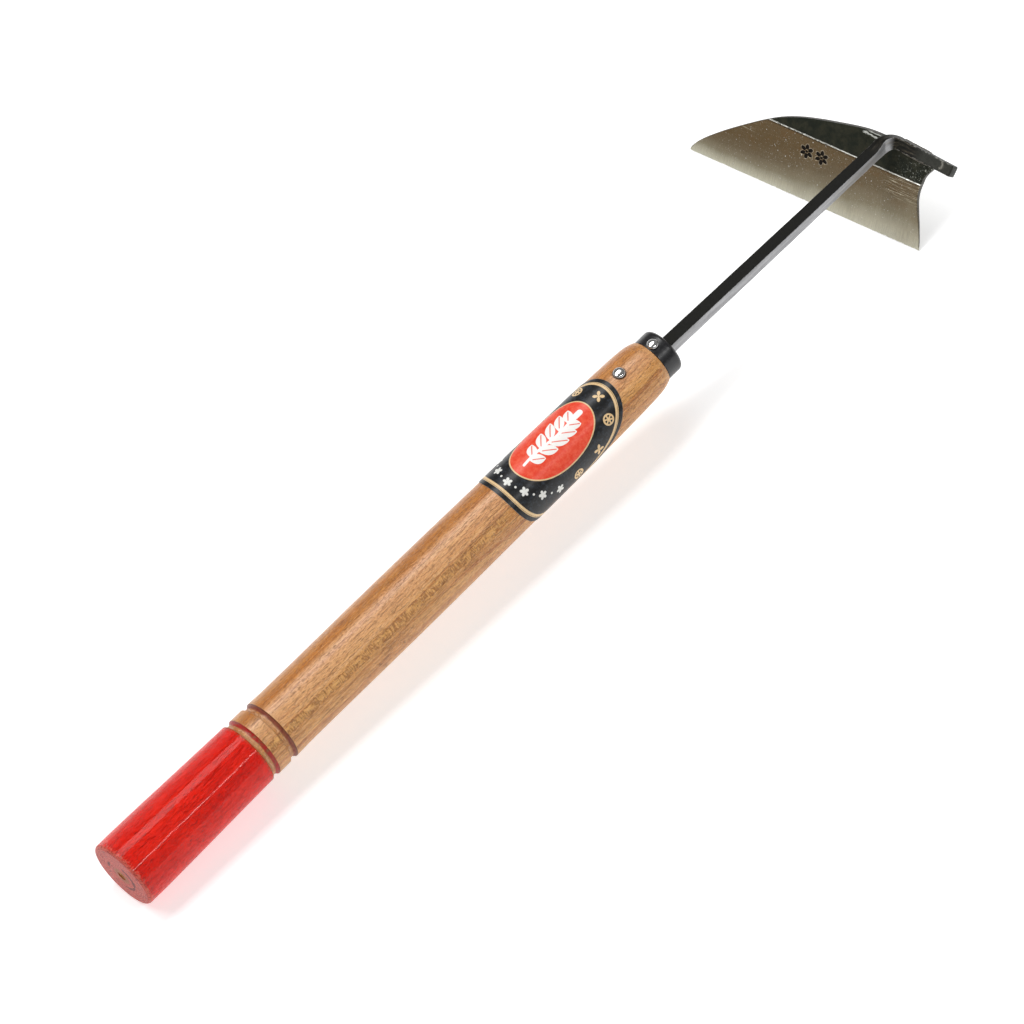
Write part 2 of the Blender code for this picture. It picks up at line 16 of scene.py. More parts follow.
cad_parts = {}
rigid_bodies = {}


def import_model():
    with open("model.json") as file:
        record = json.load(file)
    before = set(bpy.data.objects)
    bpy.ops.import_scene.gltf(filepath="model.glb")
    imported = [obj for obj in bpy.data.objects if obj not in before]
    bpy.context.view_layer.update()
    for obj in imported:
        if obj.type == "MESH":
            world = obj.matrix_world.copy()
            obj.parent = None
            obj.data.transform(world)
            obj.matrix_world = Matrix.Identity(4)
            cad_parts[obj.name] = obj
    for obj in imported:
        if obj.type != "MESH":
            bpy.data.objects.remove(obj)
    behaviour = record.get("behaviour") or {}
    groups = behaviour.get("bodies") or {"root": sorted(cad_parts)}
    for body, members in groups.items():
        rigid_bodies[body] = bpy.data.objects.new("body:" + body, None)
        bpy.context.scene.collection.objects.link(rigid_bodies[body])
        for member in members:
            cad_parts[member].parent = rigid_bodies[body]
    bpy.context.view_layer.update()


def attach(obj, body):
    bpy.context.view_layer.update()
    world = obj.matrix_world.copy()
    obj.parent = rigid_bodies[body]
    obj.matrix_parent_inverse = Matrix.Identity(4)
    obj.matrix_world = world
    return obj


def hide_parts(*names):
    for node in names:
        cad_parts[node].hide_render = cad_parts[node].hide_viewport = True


for old in list(bpy.data.objects):
    bpy.data.objects.remove(old, do_unlink=True)
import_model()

MM = 0.001
REST = np.array([
    [0.9988170862197876, -0.004390318877995014, -0.0484265498816967, -0.22132109105587006],
    [0.0, 0.9959155917167664, -0.09028905630111694, -0.023725725710392],
    [0.0486251525580883, 0.09018225222826004, 0.9947375059127808, 0.015190759673714638],
])

# ------------------------------------------------------------ dimensions, mm
BUTT_RADIUS = 15.28
GRIP = (
    (0.0, 15.28), (11.0, 15.28), (24.0, 15.05), (40.0, 14.66), (56.0, 14.32),
    (70.0, 14.05), (85.0, 13.88), (94.0, 13.66), (117.0, 13.64), (150.0, 13.68),
    (178.0, 13.55), (194.0, 13.42), (210.0, 13.25), (227.0, 13.1), (243.0, 12.95),
    (260.0, 12.78), (268.0, 12.66), (276.0, 12.46), (284.5, 12.23), (289.5, 12.04),
    (292.8, 11.84), (295.6, 11.55), (297.6, 11.12), (299.0, 10.7), (300.0, 10.3),
)
GROOVES = (72.4, 82.3)
GROOVE_WIDTH, GROOVE_DEPTH = 3.8, 1.15
LACQUER_THICK, LACQUER_END, CLEAR = 0.3, 70.4, 0.1
FERRULE_START, FERRULE_END, FERRULE_R, FERRULE_BORE = 300.2, 308.2, 9.9, 9.0
PIN_R, HEAD_HEIGHT = 1.2, 1.35
HANDLE_PIN_X, FERRULE_PIN_X = 284.0, 302.9
LABEL_START, LABEL_END, LABEL_WRAP, LABEL_TURN = 212.9, 278.3, 125.0, 4.0
LABEL_ARCH, LABEL_CURVE = 45.0, 12.5
NECK_CORNER = np.array([436.5, -2.6, 0.0])
BLADE_LENGTH, BLADE_THICK, EDGE_THICK, BEVEL = 111.2, 2.5, 0.3, 27.0
SPINE = (
    (0.2, 1.3), (1.5, 3.3), (3.4, 5.5), (6.4, 8.3), (9.7, 11.0), (12.9, 13.5), (16.2, 15.9),
    (19.6, 18.3), (23.7, 21.1), (27.9, 23.9), (32.3, 26.6), (36.3, 28.8), (40.6, 30.8), (45.1, 32.5),
    (49.6, 33.9), (54.1, 35.1), (58.6, 36.2), (63.2, 37.2), (67.8, 38.2), (72.4, 39.1), (77.0, 39.8),
    (82.0, 40.1), (90.0, 40.1), (100.0, 39.6), (107.6, 38.9),
)
HEEL = (
    (109.4, 38.3), (110.2, 37.0), (109.4, 34.6), (107.7, 32.0), (106.7, 29.8), (106.2, 27.0), (105.8, 24.3),
    (105.8, 21.9), (106.1, 19.6), (106.7, 17.2), (107.7, 13.8), (108.8, 10.2), (109.8, 6.6), (110.6, 3.6),
)


# ------------------------------------------------------------------- helpers
def unit(v):
    v = np.asarray(v, float)
    return v / np.linalg.norm(v)


def curve_through(corners, steps):
    """Points of a smooth open line through the corners."""
    p = [np.array(c, float) for c in corners]
    p = [2 * p[0] - p[1]] + p + [2 * p[-1] - p[-2]]
    out = []
    for i in range(1, len(p) - 2):
        for k in range(steps):
            t = k / steps
            out.append(0.5 * ((2 * p[i]) + (-p[i - 1] + p[i + 1]) * t + (2 * p[i - 1] - 5 * p[i] + 4 * p[i + 1] - p[i + 2]) * t ** 2
                              + (-p[i - 1] + 3 * p[i] - 3 * p[i + 1] + p[i + 2]) * t ** 3))
    out.append(p[-2])
    return np.array(out)


RADII = curve_through([(x, r) for x, r in GRIP[1:]], 8)
RADII = np.vstack([[[0.0, 15.28], [6.0, 15.29]], RADII])


def grip_radius(x):
    return np.interp(x, RADII[:, 0], RADII[:, 1])


class Noise:
    """Smooth seeded value noise in three dimensions, from -1 to 1."""

    def __init__(self, seed):
        self.table = np.random.default_rng(seed).uniform(-1, 1, 4096)

    def hash(self, i, j, k):
        return self.table[(i * 73856093 ^ j * 19349663 ^ k * 83492791) & 4095]

    def __call__(self, x, y=0.0, z=0.0):
        x, y, z = np.broadcast_arrays(np.asarray(x, float), np.asarray(y, float), np.asarray(z, float))
        i, j, k = (np.floor(v).astype(np.int64) for v in (x, y, z))
        u, v, w = x - i, y - j, z - k
        u, v, w = (t * t * (3 - 2 * t) for t in (u, v, w))
        total = 0.0
        for a in (0, 1):
            for b in (0, 1):
                for c in (0, 1):
                    weight = (u if a else 1 - u) * (v if b else 1 - v) * (w if c else 1 - w)
                    total = total + weight * self.hash(i + a, j + b, k + c)
        return total


def about_x(x, r, angle):
    x, r, angle = np.broadcast_arrays(x, r, angle)
    return np.stack([x, -r * np.sin(angle), r * np.cos(angle)], -1)


def to_row(points):
    return (np.asarray(points) * MM) @ REST[:, :3].T + REST[:, 3]


def piece(name, points, faces, material, node, attributes=None, smooth=35.0, flip=None):
    """A closed mesh from tool-frame points. Faces turn outwards, and the tool frame is kept as the attribute "tool"."""
    points = np.asarray(points, float)
    mesh = bpy.data.meshes.new(name)
    if flip is None:
        volume = 0.0
        for f in faces:
            a = points[f[0]]
            for i in range(1, len(f) - 1):
                volume += np.dot(a, np.cross(points[f[i]], points[f[i + 1]]))
        flip = volume < 0
    if flip:
        faces = [tuple(reversed(f)) for f in faces]
    mesh.from_pydata(to_row(points).tolist(), [], faces)
    mesh.update()
    held = mesh.attributes.new("tool", "FLOAT_VECTOR", "POINT")
    held.data.foreach_set("vector", points.astype(np.float32).ravel())
    for key, values in (attributes or {}).items():
        values = np.asarray(values, np.float32)
        kind = "FLOAT_VECTOR" if values.ndim == 2 else "FLOAT"
        held = mesh.attributes.new(key, kind, "POINT")
        held.data.foreach_set("vector" if values.ndim == 2 else "value", values.ravel())
    mesh.polygons.foreach_set("use_smooth", np.ones(len(mesh.polygons), bool))
    if smooth is not None and smooth < 180:
        mesh.set_sharp_from_angle(angle=math.radians(smooth))
    mesh.materials.append(material)
    obj = bpy.data.objects.new(name, mesh)
    bpy.context.scene.collection.objects.link(obj)
    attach(obj, "root")
    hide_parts(node)
    return obj


def grid_faces(rows, columns, wrap, offset=0):
    faces = []
    for i in range(rows - 1):
        for k in range(columns if wrap else columns - 1):
            m = (k + 1) % columns
            faces.append((offset + i * columns + k, offset + i * columns + m,
                          offset + (i + 1) * columns + m, offset + (i + 1) * columns + k))
    return faces


def turned(xs, radii, segments, closed, wobble=None):
    """Rings of points about the X axis for a profile. A radius of 0 makes a pole."""
    angles = np.arange(segments) * 2 * math.pi / segments
    points, rows = [], []
    for x, r in zip(xs, radii):
        if r < 1e-6:
            rows.append([len(points)])
            points.append((x, 0.0, 0.0))
        else:
            rows.append(list(range(len(points), len(points) + segments)))
            radius = np.full(segments, r)
            shift = np.full(segments, x)
            if wobble is not None:
                radius, shift = wobble(shift, radius, angles)
            points += about_x(shift, radius, angles).tolist()
    faces = []
    pairs = list(zip(rows, rows[1:] + rows[:1])) if closed else list(zip(rows, rows[1:]))
    for low, high in pairs:
        for k in range(segments):
            n = (k + 1) % segments
            if len(low) == 1 and len(high) == 1:
                continue
            if len(low) == 1:
                faces.append((low[0], high[n], high[k]))
            elif len(high) == 1:
                faces.append((low[k], low[n], high[0]))
            else:
                faces.append((low[k], low[n], high[n], high[k]))
    return np.array(points), faces


# ------------------------------------------------------------ shader helpers
class Shader:
    """A short hand for one node material."""

    def __init__(self, name):
        self.material = bpy.data.materials.new(name)
        self.material.use_nodes = True
        self.tree = self.material.node_tree
        self.bsdf = next(n for n in self.tree.nodes if n.type == "BSDF_PRINCIPLED")
        self.held = {}

    def node(self, kind, **settings):
        made = self.tree.nodes.new(kind)
        for key, value in settings.items():
            setattr(made, key, value)
        return made

    def put(self, socket, value):
        if hasattr(value, "is_output"):
            self.tree.links.new(value, socket)
        elif value is not None:
            socket.default_value = value
        return socket

    def set(self, **values):
        for key, value in values.items():
            self.put(self.bsdf.inputs[key.replace("_", " ")], value)

    def attribute(self, name, vector=False):
        if name not in self.held:
            self.held[name] = self.node("ShaderNodeAttribute", attribute_name=name)
        return self.held[name].outputs["Vector" if vector else "Fac"]

    def math(self, operation, a, b=None, c=None, clamp=False):
        made = self.node("ShaderNodeMath", operation=operation, use_clamp=clamp)
        for socket, value in zip(made.inputs, (a, b, c)):
            self.put(socket, value)
        return made.outputs[0]

    def add(self, a, b):
        return self.math("ADD", a, b)

    def sub(self, a, b):
        return self.math("SUBTRACT", a, b)

    def mul(self, a, b):
        return self.math("MULTIPLY", a, b)

    def scale(self, vector, factors, offset=(0, 0, 0)):
        made = self.node("ShaderNodeMapping")
        self.put(made.inputs["Vector"], vector)
        made.inputs["Scale"].default_value = factors
        made.inputs["Location"].default_value = offset
        return made.outputs[0]

    def noise(self, vector, scale=1.0, detail=3.0, rough=0.55, distortion=0.0, colour=False):
        made = self.node("ShaderNodeTexNoise")
        self.put(made.inputs["Vector"], vector)
        made.inputs["Scale"].default_value = scale
        made.inputs["Detail"].default_value = detail
        made.inputs["Roughness"].default_value = rough
        made.inputs["Distortion"].default_value = distortion
        return made.outputs["Color" if colour else "Fac"]

    def voronoi(self, vector, scale=1.0, feature="F1", randomness=1.0, output="Distance"):
        made = self.node("ShaderNodeTexVoronoi", feature=feature)
        self.put(made.inputs["Vector"], vector)
        made.inputs["Scale"].default_value = scale
        made.inputs["Randomness"].default_value = randomness
        return made.outputs[output]

    def ramp(self, value, stops, smooth=False):
        made = self.node("ShaderNodeValToRGB")
        made.color_ramp.interpolation = "EASE" if smooth else "LINEAR"
        self.put(made.inputs[0], value)
        elements = made.color_ramp.elements
        while len(elements) < len(stops):
            elements.new(0.5)
        for element, (place, colour) in zip(elements, stops):
            element.position = place
            element.color = (*colour, 1.0) if not isinstance(colour, (int, float)) else (colour, colour, colour, 1.0)
        return made.outputs[0]

    def step(self, value, low, high):
        """0 below low and 1 above high, smooth between; high below low turns it round."""
        made = self.node("ShaderNodeMapRange", interpolation_type="SMOOTHSTEP")
        self.put(made.inputs["Value"], value)
        made.inputs["From Min"].default_value = low
        made.inputs["From Max"].default_value = high
        return made.outputs[0]

    def mix(self, factor, a, b, blend="MIX"):
        made = self.node("ShaderNodeMix", data_type="RGBA", blend_type=blend)
        self.put(made.inputs["Factor"], factor)
        for socket, value in ((made.inputs[6], a), (made.inputs[7], b)):
            self.put(socket, (*value, 1.0) if isinstance(value, tuple) and len(value) == 3 else value)
        return made.outputs[2]

    def split(self, vector):
        made = self.node("ShaderNodeSeparateXYZ")
        self.put(made.inputs[0], vector)
        return made.outputs

    def join(self, x=0.0, y=0.0, z=0.0):
        made = self.node("ShaderNodeCombineXYZ")
        for socket, value in zip(made.inputs, (x, y, z)):
            self.put(socket, value)
        return made.outputs[0]

    def bump(self, height, millimetres, strength=1.0, normal=None):
        made = self.node("ShaderNodeBump")
        self.put(made.inputs["Height"], height)
        made.inputs["Strength"].default_value = strength
        made.inputs["Distance"].default_value = millimetres * MM
        if normal is not None:
            self.put(made.inputs["Normal"], normal)
        return made.outputs[0]


def srgb(r, g, b):
    """Linear colour of an sRGB one, 0 to 255."""
    out = []
    for v in (r, g, b):
        v /= 255.0
        out.append(v / 12.92 if v <= 0.04045 else ((v + 0.055) / 1.055) ** 2.4)
    return tuple(out)


# ------------------------------------------------------------------ materials
def wood_fields(s, thin_paint=False):
    """Grain of a flat-sawn, ring-porous hardwood: returns (colour, pore mask, height)."""
    tool = s.attribute("tool", True)
    x, y, z = s.split(tool)
    # growth rings: long distorted layers, cut through by the turned surface
    warp = s.noise(s.scale(tool, (0.011, 0.09, 0.09)), 1.0, 2.0, 0.5, colour=True)
    warp_y = s.split(warp)[1]
    lay = s.add(s.mul(y, 0.34), s.add(s.mul(z, 0.19), s.mul(warp_y, 3.0)))
    rings = s.noise(s.join(s.mul(x, 0.004), lay, 0.0), 1.35, 3.0, 0.6)
    fibre = s.noise(s.scale(tool, (0.045, 2.6, 2.6)), 1.0, 4.0, 0.65)
    fine = s.noise(s.scale(tool, (0.16, 9.0, 9.0)), 1.0, 2.0, 0.6)
    cloud = s.noise(s.scale(tool, (0.02, 0.12, 0.12)), 1.0, 2.0, 0.5)
    base = s.ramp(rings, [(0.30, srgb(208, 140, 70)), (0.44, srgb(224, 164, 92)), (0.56, srgb(208, 139, 70)),
                          (0.68, srgb(184, 110, 46))])
    base = s.mix(s.mul(s.step(fibre, 0.42, 0.70), 0.55), base, srgb(168, 104, 50))
    base = s.mix(s.mul(s.step(fine, 0.50, 0.72), 0.30), base, srgb(232, 180, 124))
    base = s.mix(s.mul(s.step(cloud, 0.52, 0.72), 0.35), base, srgb(186, 112, 48))
    # open pores: short dark flecks along the grain, thicker in the early wood
    cells = s.voronoi(s.scale(tool, (0.24, 2.5, 2.5)), 1.0, "F1", 1.0)
    early = s.noise(s.scale(tool, (0.016, 0.42, 0.42)), 1.0, 2.0, 0.5)
    pores = s.mul(s.step(cells, 0.27, 0.10), s.step(early, 0.40, 0.56))
    cells2 = s.voronoi(s.scale(tool, (0.62, 6.3, 6.3), (3.0, 1.0, 7.0)), 1.0, "F1", 1.0)
    pores = s.math("MAXIMUM", pores, s.mul(s.step(cells2, 0.27, 0.10), 0.65))
    base = s.mix(s.mul(pores, 0.70), base, srgb(104, 54, 20))
    lines = s.noise(s.scale(tool, (0.012, 1.15, 1.15), (4.0, 2.0, 0.0)), 1.0, 3.0, 0.7)
    base = s.mix(s.mul(s.step(lines, 0.585, 0.66), 0.42), base, srgb(126, 66, 26))
    bent = s.noise(s.scale(tool, (0.34, 0.34, 0.34), (2.0, 7.0, 1.0)), 1.0, 2.0, 0.6, colour=True)
    bent_y, bent_z = s.split(bent)[1], s.split(bent)[2]
    wavy = s.noise(s.join(s.mul(x, 0.11), s.add(s.mul(y, 2.3), s.mul(bent_y, 2.6)), s.add(s.mul(z, 2.3), s.mul(bent_z, 2.6))), 1.0, 3.0, 0.7)
    flow = s.mul(s.step(wavy, 0.565, 0.625), s.step(wavy, 0.70, 0.645))
    base = s.mix(s.mul(flow, 0.50), base, srgb(118, 62, 24))
    bright = s.mul(s.step(wavy, 0.44, 0.37), 0.30)
    base = s.mix(bright, base, srgb(240, 196, 138))
    grit = s.voronoi(s.scale(tool, (1.1, 4.4, 4.4), (5.0, 3.0, 1.0)), 1.0, "F1", 1.0)
    grit = s.mul(s.step(grit, 0.24, 0.12), s.step(cloud, 0.36, 0.52))
    base = s.mix(s.mul(grit, 0.55), base, srgb(112, 58, 22))
    # one figured band along the grip, where the saw ran along a ring of early wood
    turn = s.attribute("turn")
    wob = s.sub(s.noise(s.scale(tool, (0.055, 0.0, 0.0)), 1.0, 3.0, 0.6), 0.5)
    wob2 = s.sub(s.noise(s.scale(tool, (0.42, 0.15, 0.15)), 1.0, 3.0, 0.7), 0.5)
    off = s.add(s.sub(turn, 46.0), s.add(s.mul(wob, 9.0), s.mul(wob2, 7.0)))
    away = s.math("ABSOLUTE", off)
    below = s.step(x, 214.0, 206.0)
    band = s.mul(s.step(away, 7.6, 6.4), below)
    rim = s.mul(s.mul(s.step(away, 9.0, 7.4), s.step(away, 4.8, 6.4)), below)
    across = s.join(s.add(s.mul(x, 1.05), s.mul(wob2, 1.6)), s.mul(turn, 0.055), 0.0)
    walls = s.voronoi(across, 1.0, "DISTANCE_TO_EDGE", 0.9)
    ticks = s.mul(s.step(walls, 0.17, 0.05), s.step(s.noise(s.scale(tool, (0.30, 0.5, 0.5), (9, 0, 0)), 1.0, 2.0, 0.6), 0.40, 0.54))
    short = s.voronoi(s.join(s.mul(x, 1.5), s.mul(turn, 0.12), 4.0), 1.0, "F1", 1.0)
    ticks = s.math("MAXIMUM", ticks, s.mul(s.step(short, 0.30, 0.12), s.step(wob2, -0.02, 0.16)))
    base = s.mix(s.mul(band, 0.55), base, srgb(232, 176, 104))
    base = s.mix(s.mul(s.mul(band, ticks), 0.62), base, srgb(146, 82, 34))
    broken = s.step(s.noise(s.scale(tool, (0.9, 0.4, 0.4)), 1.0, 2.0, 0.6), 0.42, 0.56)
    base = s.mix(s.mul(s.mul(rim, broken), 0.55), base, srgb(142, 80, 36))
    # a darker, more orange strip along the other flank, set by the angle round the handle
    flank = s.mul(s.step(turn, -62.0, -42.0), s.step(turn, 2.0, -14.0))
    base = s.mix(s.mul(flank, 0.55), base, s.mix(s.step(fibre, 0.35, 0.65), srgb(200, 120, 36), srgb(164, 88, 20)))
    # painted highlight: a paler, pinkish strip between the two where the broad highlight falls, and short fine flecks
    # all over
    painted_highlight_strip = s.mul(s.step(turn, -16.0, 2.0), s.step(turn, 34.0, 20.0))
    # painted highlight where the broad highlight falls on the wood
    base = s.mix(s.mul(painted_highlight_strip, 0.34), base, srgb(238, 184, 144))
    fleck = s.noise(s.scale(tool, (0.42, 4.6, 4.6), (1.0, 8.0, 3.0)), 1.0, 3.0, 0.75)
    fleck = s.step(fleck, 0.55, 0.64)
    base = s.mix(s.mul(fleck, 0.56), base, srgb(124, 62, 24))
    sheen = s.step(s.noise(s.scale(tool, (0.5, 5.5, 5.5), (6.0, 2.0, 9.0)), 1.0, 3.0, 0.75), 0.56, 0.66)
    base = s.mix(s.mul(sheen, 0.40), base, srgb(246, 208, 164))
    height = s.sub(s.mul(fibre, 0.35), s.add(s.mul(pores, 0.9), s.add(s.mul(flow, 0.5), s.mul(s.mul(band, ticks), 0.6))))
    return base, pores, height


def wood_material():
    s = Shader("oiled_open_grain_wood")
    base, pores, height = wood_fields(s)
    x, y, z = s.split(s.attribute("tool", True))
    # cut grooves: floor darker and mottled with its depth as painted shade, paler painted highlight patches on it, a
    # dark wall that is painted shade over a real red stain, painted shade lines along both edges, and red paint caught
    # in the one next to the lacquer
    groove = s.attribute("groove")
    wall = s.attribute("groove_wall")
    groove_mottle = s.noise(s.scale(s.attribute("tool", True), (1.4, 0.5, 0.5)), 1.0, 4.0, 0.65)
    # painted shade: the groove floor darker with its depth, mottled
    base = s.mix(s.mul(groove, s.add(0.10, s.mul(s.step(groove_mottle, 0.35, 0.65), 0.55))), base, srgb(164, 112, 78))
    # painted highlight: paler patches on the groove floor away from the wall
    painted_light_patches = s.mul(groove, s.mul(s.step(groove_mottle, 0.50, 0.62), s.step(wall, 0.4, 0.0)))
    base = s.mix(s.mul(painted_light_patches, 0.6), base, srgb(232, 190, 148))
    # painted shade over a real red stain on the wall of each groove
    base = s.mix(s.mul(wall, s.add(0.60, s.mul(groove_mottle, 0.40))), base, srgb(118, 24, 16))
    # painted shade: dark lines along both edges of each groove
    lip = s.attribute("groove_lip")
    base = s.mix(s.mul(lip, s.add(0.45, s.mul(groove_mottle, 0.5))), base, srgb(64, 22, 10))
    paint = s.mul(s.step(x, 74.9, 74.3), s.step(x, 69.0, 71.0))
    base = s.mix(s.mul(s.mul(paint, wall), s.step(groove_mottle, 0.38, 0.52)), base, srgb(176, 24, 16))
    stray = s.step(s.noise(s.scale(s.attribute("tool", True), (0.9, 0.9, 0.9)), 1.0, 5.0, 0.75), 0.60, 0.66)
    base = s.mix(s.mul(s.mul(paint, stray), 0.75), base, srgb(206, 40, 26))
    # the rounded shoulder by the ferrule painted paler: a painted highlight along its edge
    end = s.step(x, 296.5, 299.5)
    base = s.mix(s.mul(end, 0.30), base, srgb(222, 168, 104))
    # dark ring of oil and shadow pressed round the pin
    px = s.sub(x, HANDLE_PIN_X)
    ring = s.math("SQRT", s.add(s.mul(px, px), s.mul(y, y)))
    stain = s.mul(s.step(ring, 3.25, 2.55), s.step(z, 0.0, 1.0))
    base = s.mix(s.mul(stain, 0.88), base, srgb(38, 24, 16))
    rough = s.add(0.36, s.add(s.mul(pores, 0.25), s.mul(groove, 0.28)))
    rough = s.add(rough, s.mul(s.sub(s.noise(s.scale(s.attribute("tool", True), (0.06, 0.5, 0.5)), 1.0, 3.0, 0.6), 0.5), 0.16))
    s.set(Base_Color=base, Roughness=rough, Normal=s.bump(s.sub(height, s.mul(pores, 0.3)), 0.36, 0.75))
    s.bsdf.inputs["Coat Weight"].default_value = 0.30
    s.bsdf.inputs["Coat Roughness"].default_value = 0.26
    s.bsdf.inputs["Specular IOR Level"].default_value = 0.40
    return s.material


def lacquer_material():
    s = Shader("red_dipped_lacquer")
    base_wood, pores, height = wood_fields(s)
    tool = s.attribute("tool", True)
    x, y, z = s.split(tool)
    cloud = s.noise(s.scale(tool, (0.05, 0.25, 0.25)), 1.0, 3.0, 0.6)
    red = s.mix(s.step(cloud, 0.35, 0.65), srgb(244, 30, 4), srgb(230, 22, 3))
    red = s.mix(s.mul(pores, 0.74), red, srgb(110, 4, 2))
    streak = s.noise(s.scale(tool, (0.05, 3.4, 3.4)), 1.0, 4.0, 0.7)
    red = s.mix(s.mul(s.step(streak, 0.54, 0.68), 0.34), red, srgb(236, 56, 36))
    # thin paint soaked into the end grain: pinker, with the turned rings of the butt
    end = s.step(x, 1.75, 0.75)
    radius = s.math("SQRT", s.add(s.mul(y, y), s.mul(z, z)))
    rings = s.math("SINE", s.mul(radius, 5.2))
    grain = s.noise(s.scale(tool, (0.3, 1.6, 1.6)), 1.0, 4.0, 0.7)
    soaked = s.mix(s.step(grain, 0.34, 0.66), srgb(230, 104, 88), srgb(184, 58, 44))
    soaked = s.mix(s.mul(s.step(rings, 0.1, 0.9), 0.34), soaked, srgb(238, 148, 130))
    ragged = s.noise(s.scale(tool, (0.1, 0.55, 0.55)), 1.0, 3.0, 0.7)
    around = s.add(radius, s.mul(s.sub(ragged, 0.5), 1.7))
    partial = s.step(s.noise(s.scale(tool, (0.0, 0.13, 0.13), (0.0, 5.0, 2.0)), 1.0, 2.0, 0.5), 0.46, 0.54)
    mark = s.mul(s.mul(s.step(s.math("ABSOLUTE", s.sub(around, 7.05)), 0.95, 0.45), s.step(x, 0.9, 0.5)), partial)
    soaked = s.mix(s.mul(mark, s.add(0.55, s.mul(s.step(ragged, 0.40, 0.54), 0.45))), soaked, srgb(40, 6, 4))
    worn = s.step(around, 4.9, 3.6)
    soaked = s.mix(s.mul(worn, 0.85), soaked, srgb(168, 104, 52))
    scar = s.step(s.noise(s.scale(tool, (0.2, 0.35, 1.5)), 1.0, 4.0, 0.75), 0.53, 0.61)
    soaked = s.mix(s.mul(scar, 0.78), soaked, srgb(104, 30, 24))
    red = s.mix(s.mul(end, 0.88), red, soaked)
    # rubbed edge of the butt, and a ragged thin edge where the dip stopped
    rub = s.mul(s.mul(s.step(x, 0.4, 1.0), s.step(x, 3.0, 1.6)), s.step(s.noise(s.scale(tool, (0.8, 0.8, 0.8)), 1.0, 4.0, 0.7), 0.50, 0.60))
    red = s.mix(s.mul(rub, 0.6), red, srgb(228, 128, 108))
    # painted shade: a darker band just behind the rounded edge of the butt
    painted_shade_band = s.mul(s.mul(s.step(x, 1.6, 2.2), s.step(x, 4.0, 2.6)), s.step(grain, 0.46, 0.58))
    red = s.mix(s.mul(painted_shade_band, 0.4), red, srgb(140, 10, 8))
    thin = s.mul(s.step(x, 69.0, 70.2), s.step(s.noise(s.scale(tool, (0.5, 1.6, 1.6)), 1.0, 4.0, 0.7), 0.40, 0.58))
    red = s.mix(s.mul(thin, 0.75), red, srgb(168, 84, 48))
    rough = s.add(0.26, s.add(s.mul(end, 0.28), s.mul(pores, 0.2)))
    rough = s.add(rough, s.mul(s.sub(cloud, 0.5), 0.10))
    s.set(Base_Color=red, Roughness=rough, Normal=s.bump(s.add(height, s.mul(streak, 0.9)), 0.42, 0.9))
    s.bsdf.inputs["Coat Weight"].default_value = 0.24
    s.bsdf.inputs["Coat Roughness"].default_value = 0.09
    s.bsdf.inputs["Specular IOR Level"].default_value = 0.14
    return s.material


def ferrule_material():
    s = Shader("satin_black_ferrule")
    tool = s.attribute("tool", True)
    x, y, z = s.split(tool)
    dust = s.noise(tool, 1.1, 5.0, 0.7)
    fine = s.noise(tool, 6.0, 3.0, 0.6)
    base = s.mix(s.step(dust, 0.4, 0.7), srgb(13, 13, 15), srgb(26, 26, 29))
    lint = s.step(s.voronoi(s.scale(tool, (0.9, 1.6, 1.6)), 1.0, "F1", 1.0), 0.11, 0.05)
    base = s.mix(s.mul(lint, 0.35), base, srgb(120, 118, 114))
    rim = s.mul(s.step(s.math("ABSOLUTE", s.sub(x, 307.4)), 0.8, 0.2), s.step(fine, 0.50, 0.62))
    base = s.mix(s.mul(rim, 0.30), base, srgb(110, 108, 106))
    turned_marks = s.noise(s.join(s.mul(x, 3.5), 0.0, 0.0), 1.0, 2.0, 0.5)
    rough = s.add(0.25, s.add(s.mul(s.step(dust, 0.35, 0.75), 0.14), s.mul(fine, 0.06)))
    s.set(Base_Color=base, Roughness=rough, Normal=s.bump(s.add(s.mul(turned_marks, 0.6), s.mul(fine, 0.5)), 0.05, 0.5))
    s.bsdf.inputs["Specular IOR Level"].default_value = 0.5
    s.bsdf.inputs["Coat Weight"].default_value = 0.15
    s.bsdf.inputs["Coat Roughness"].default_value = 0.25
    return s.material


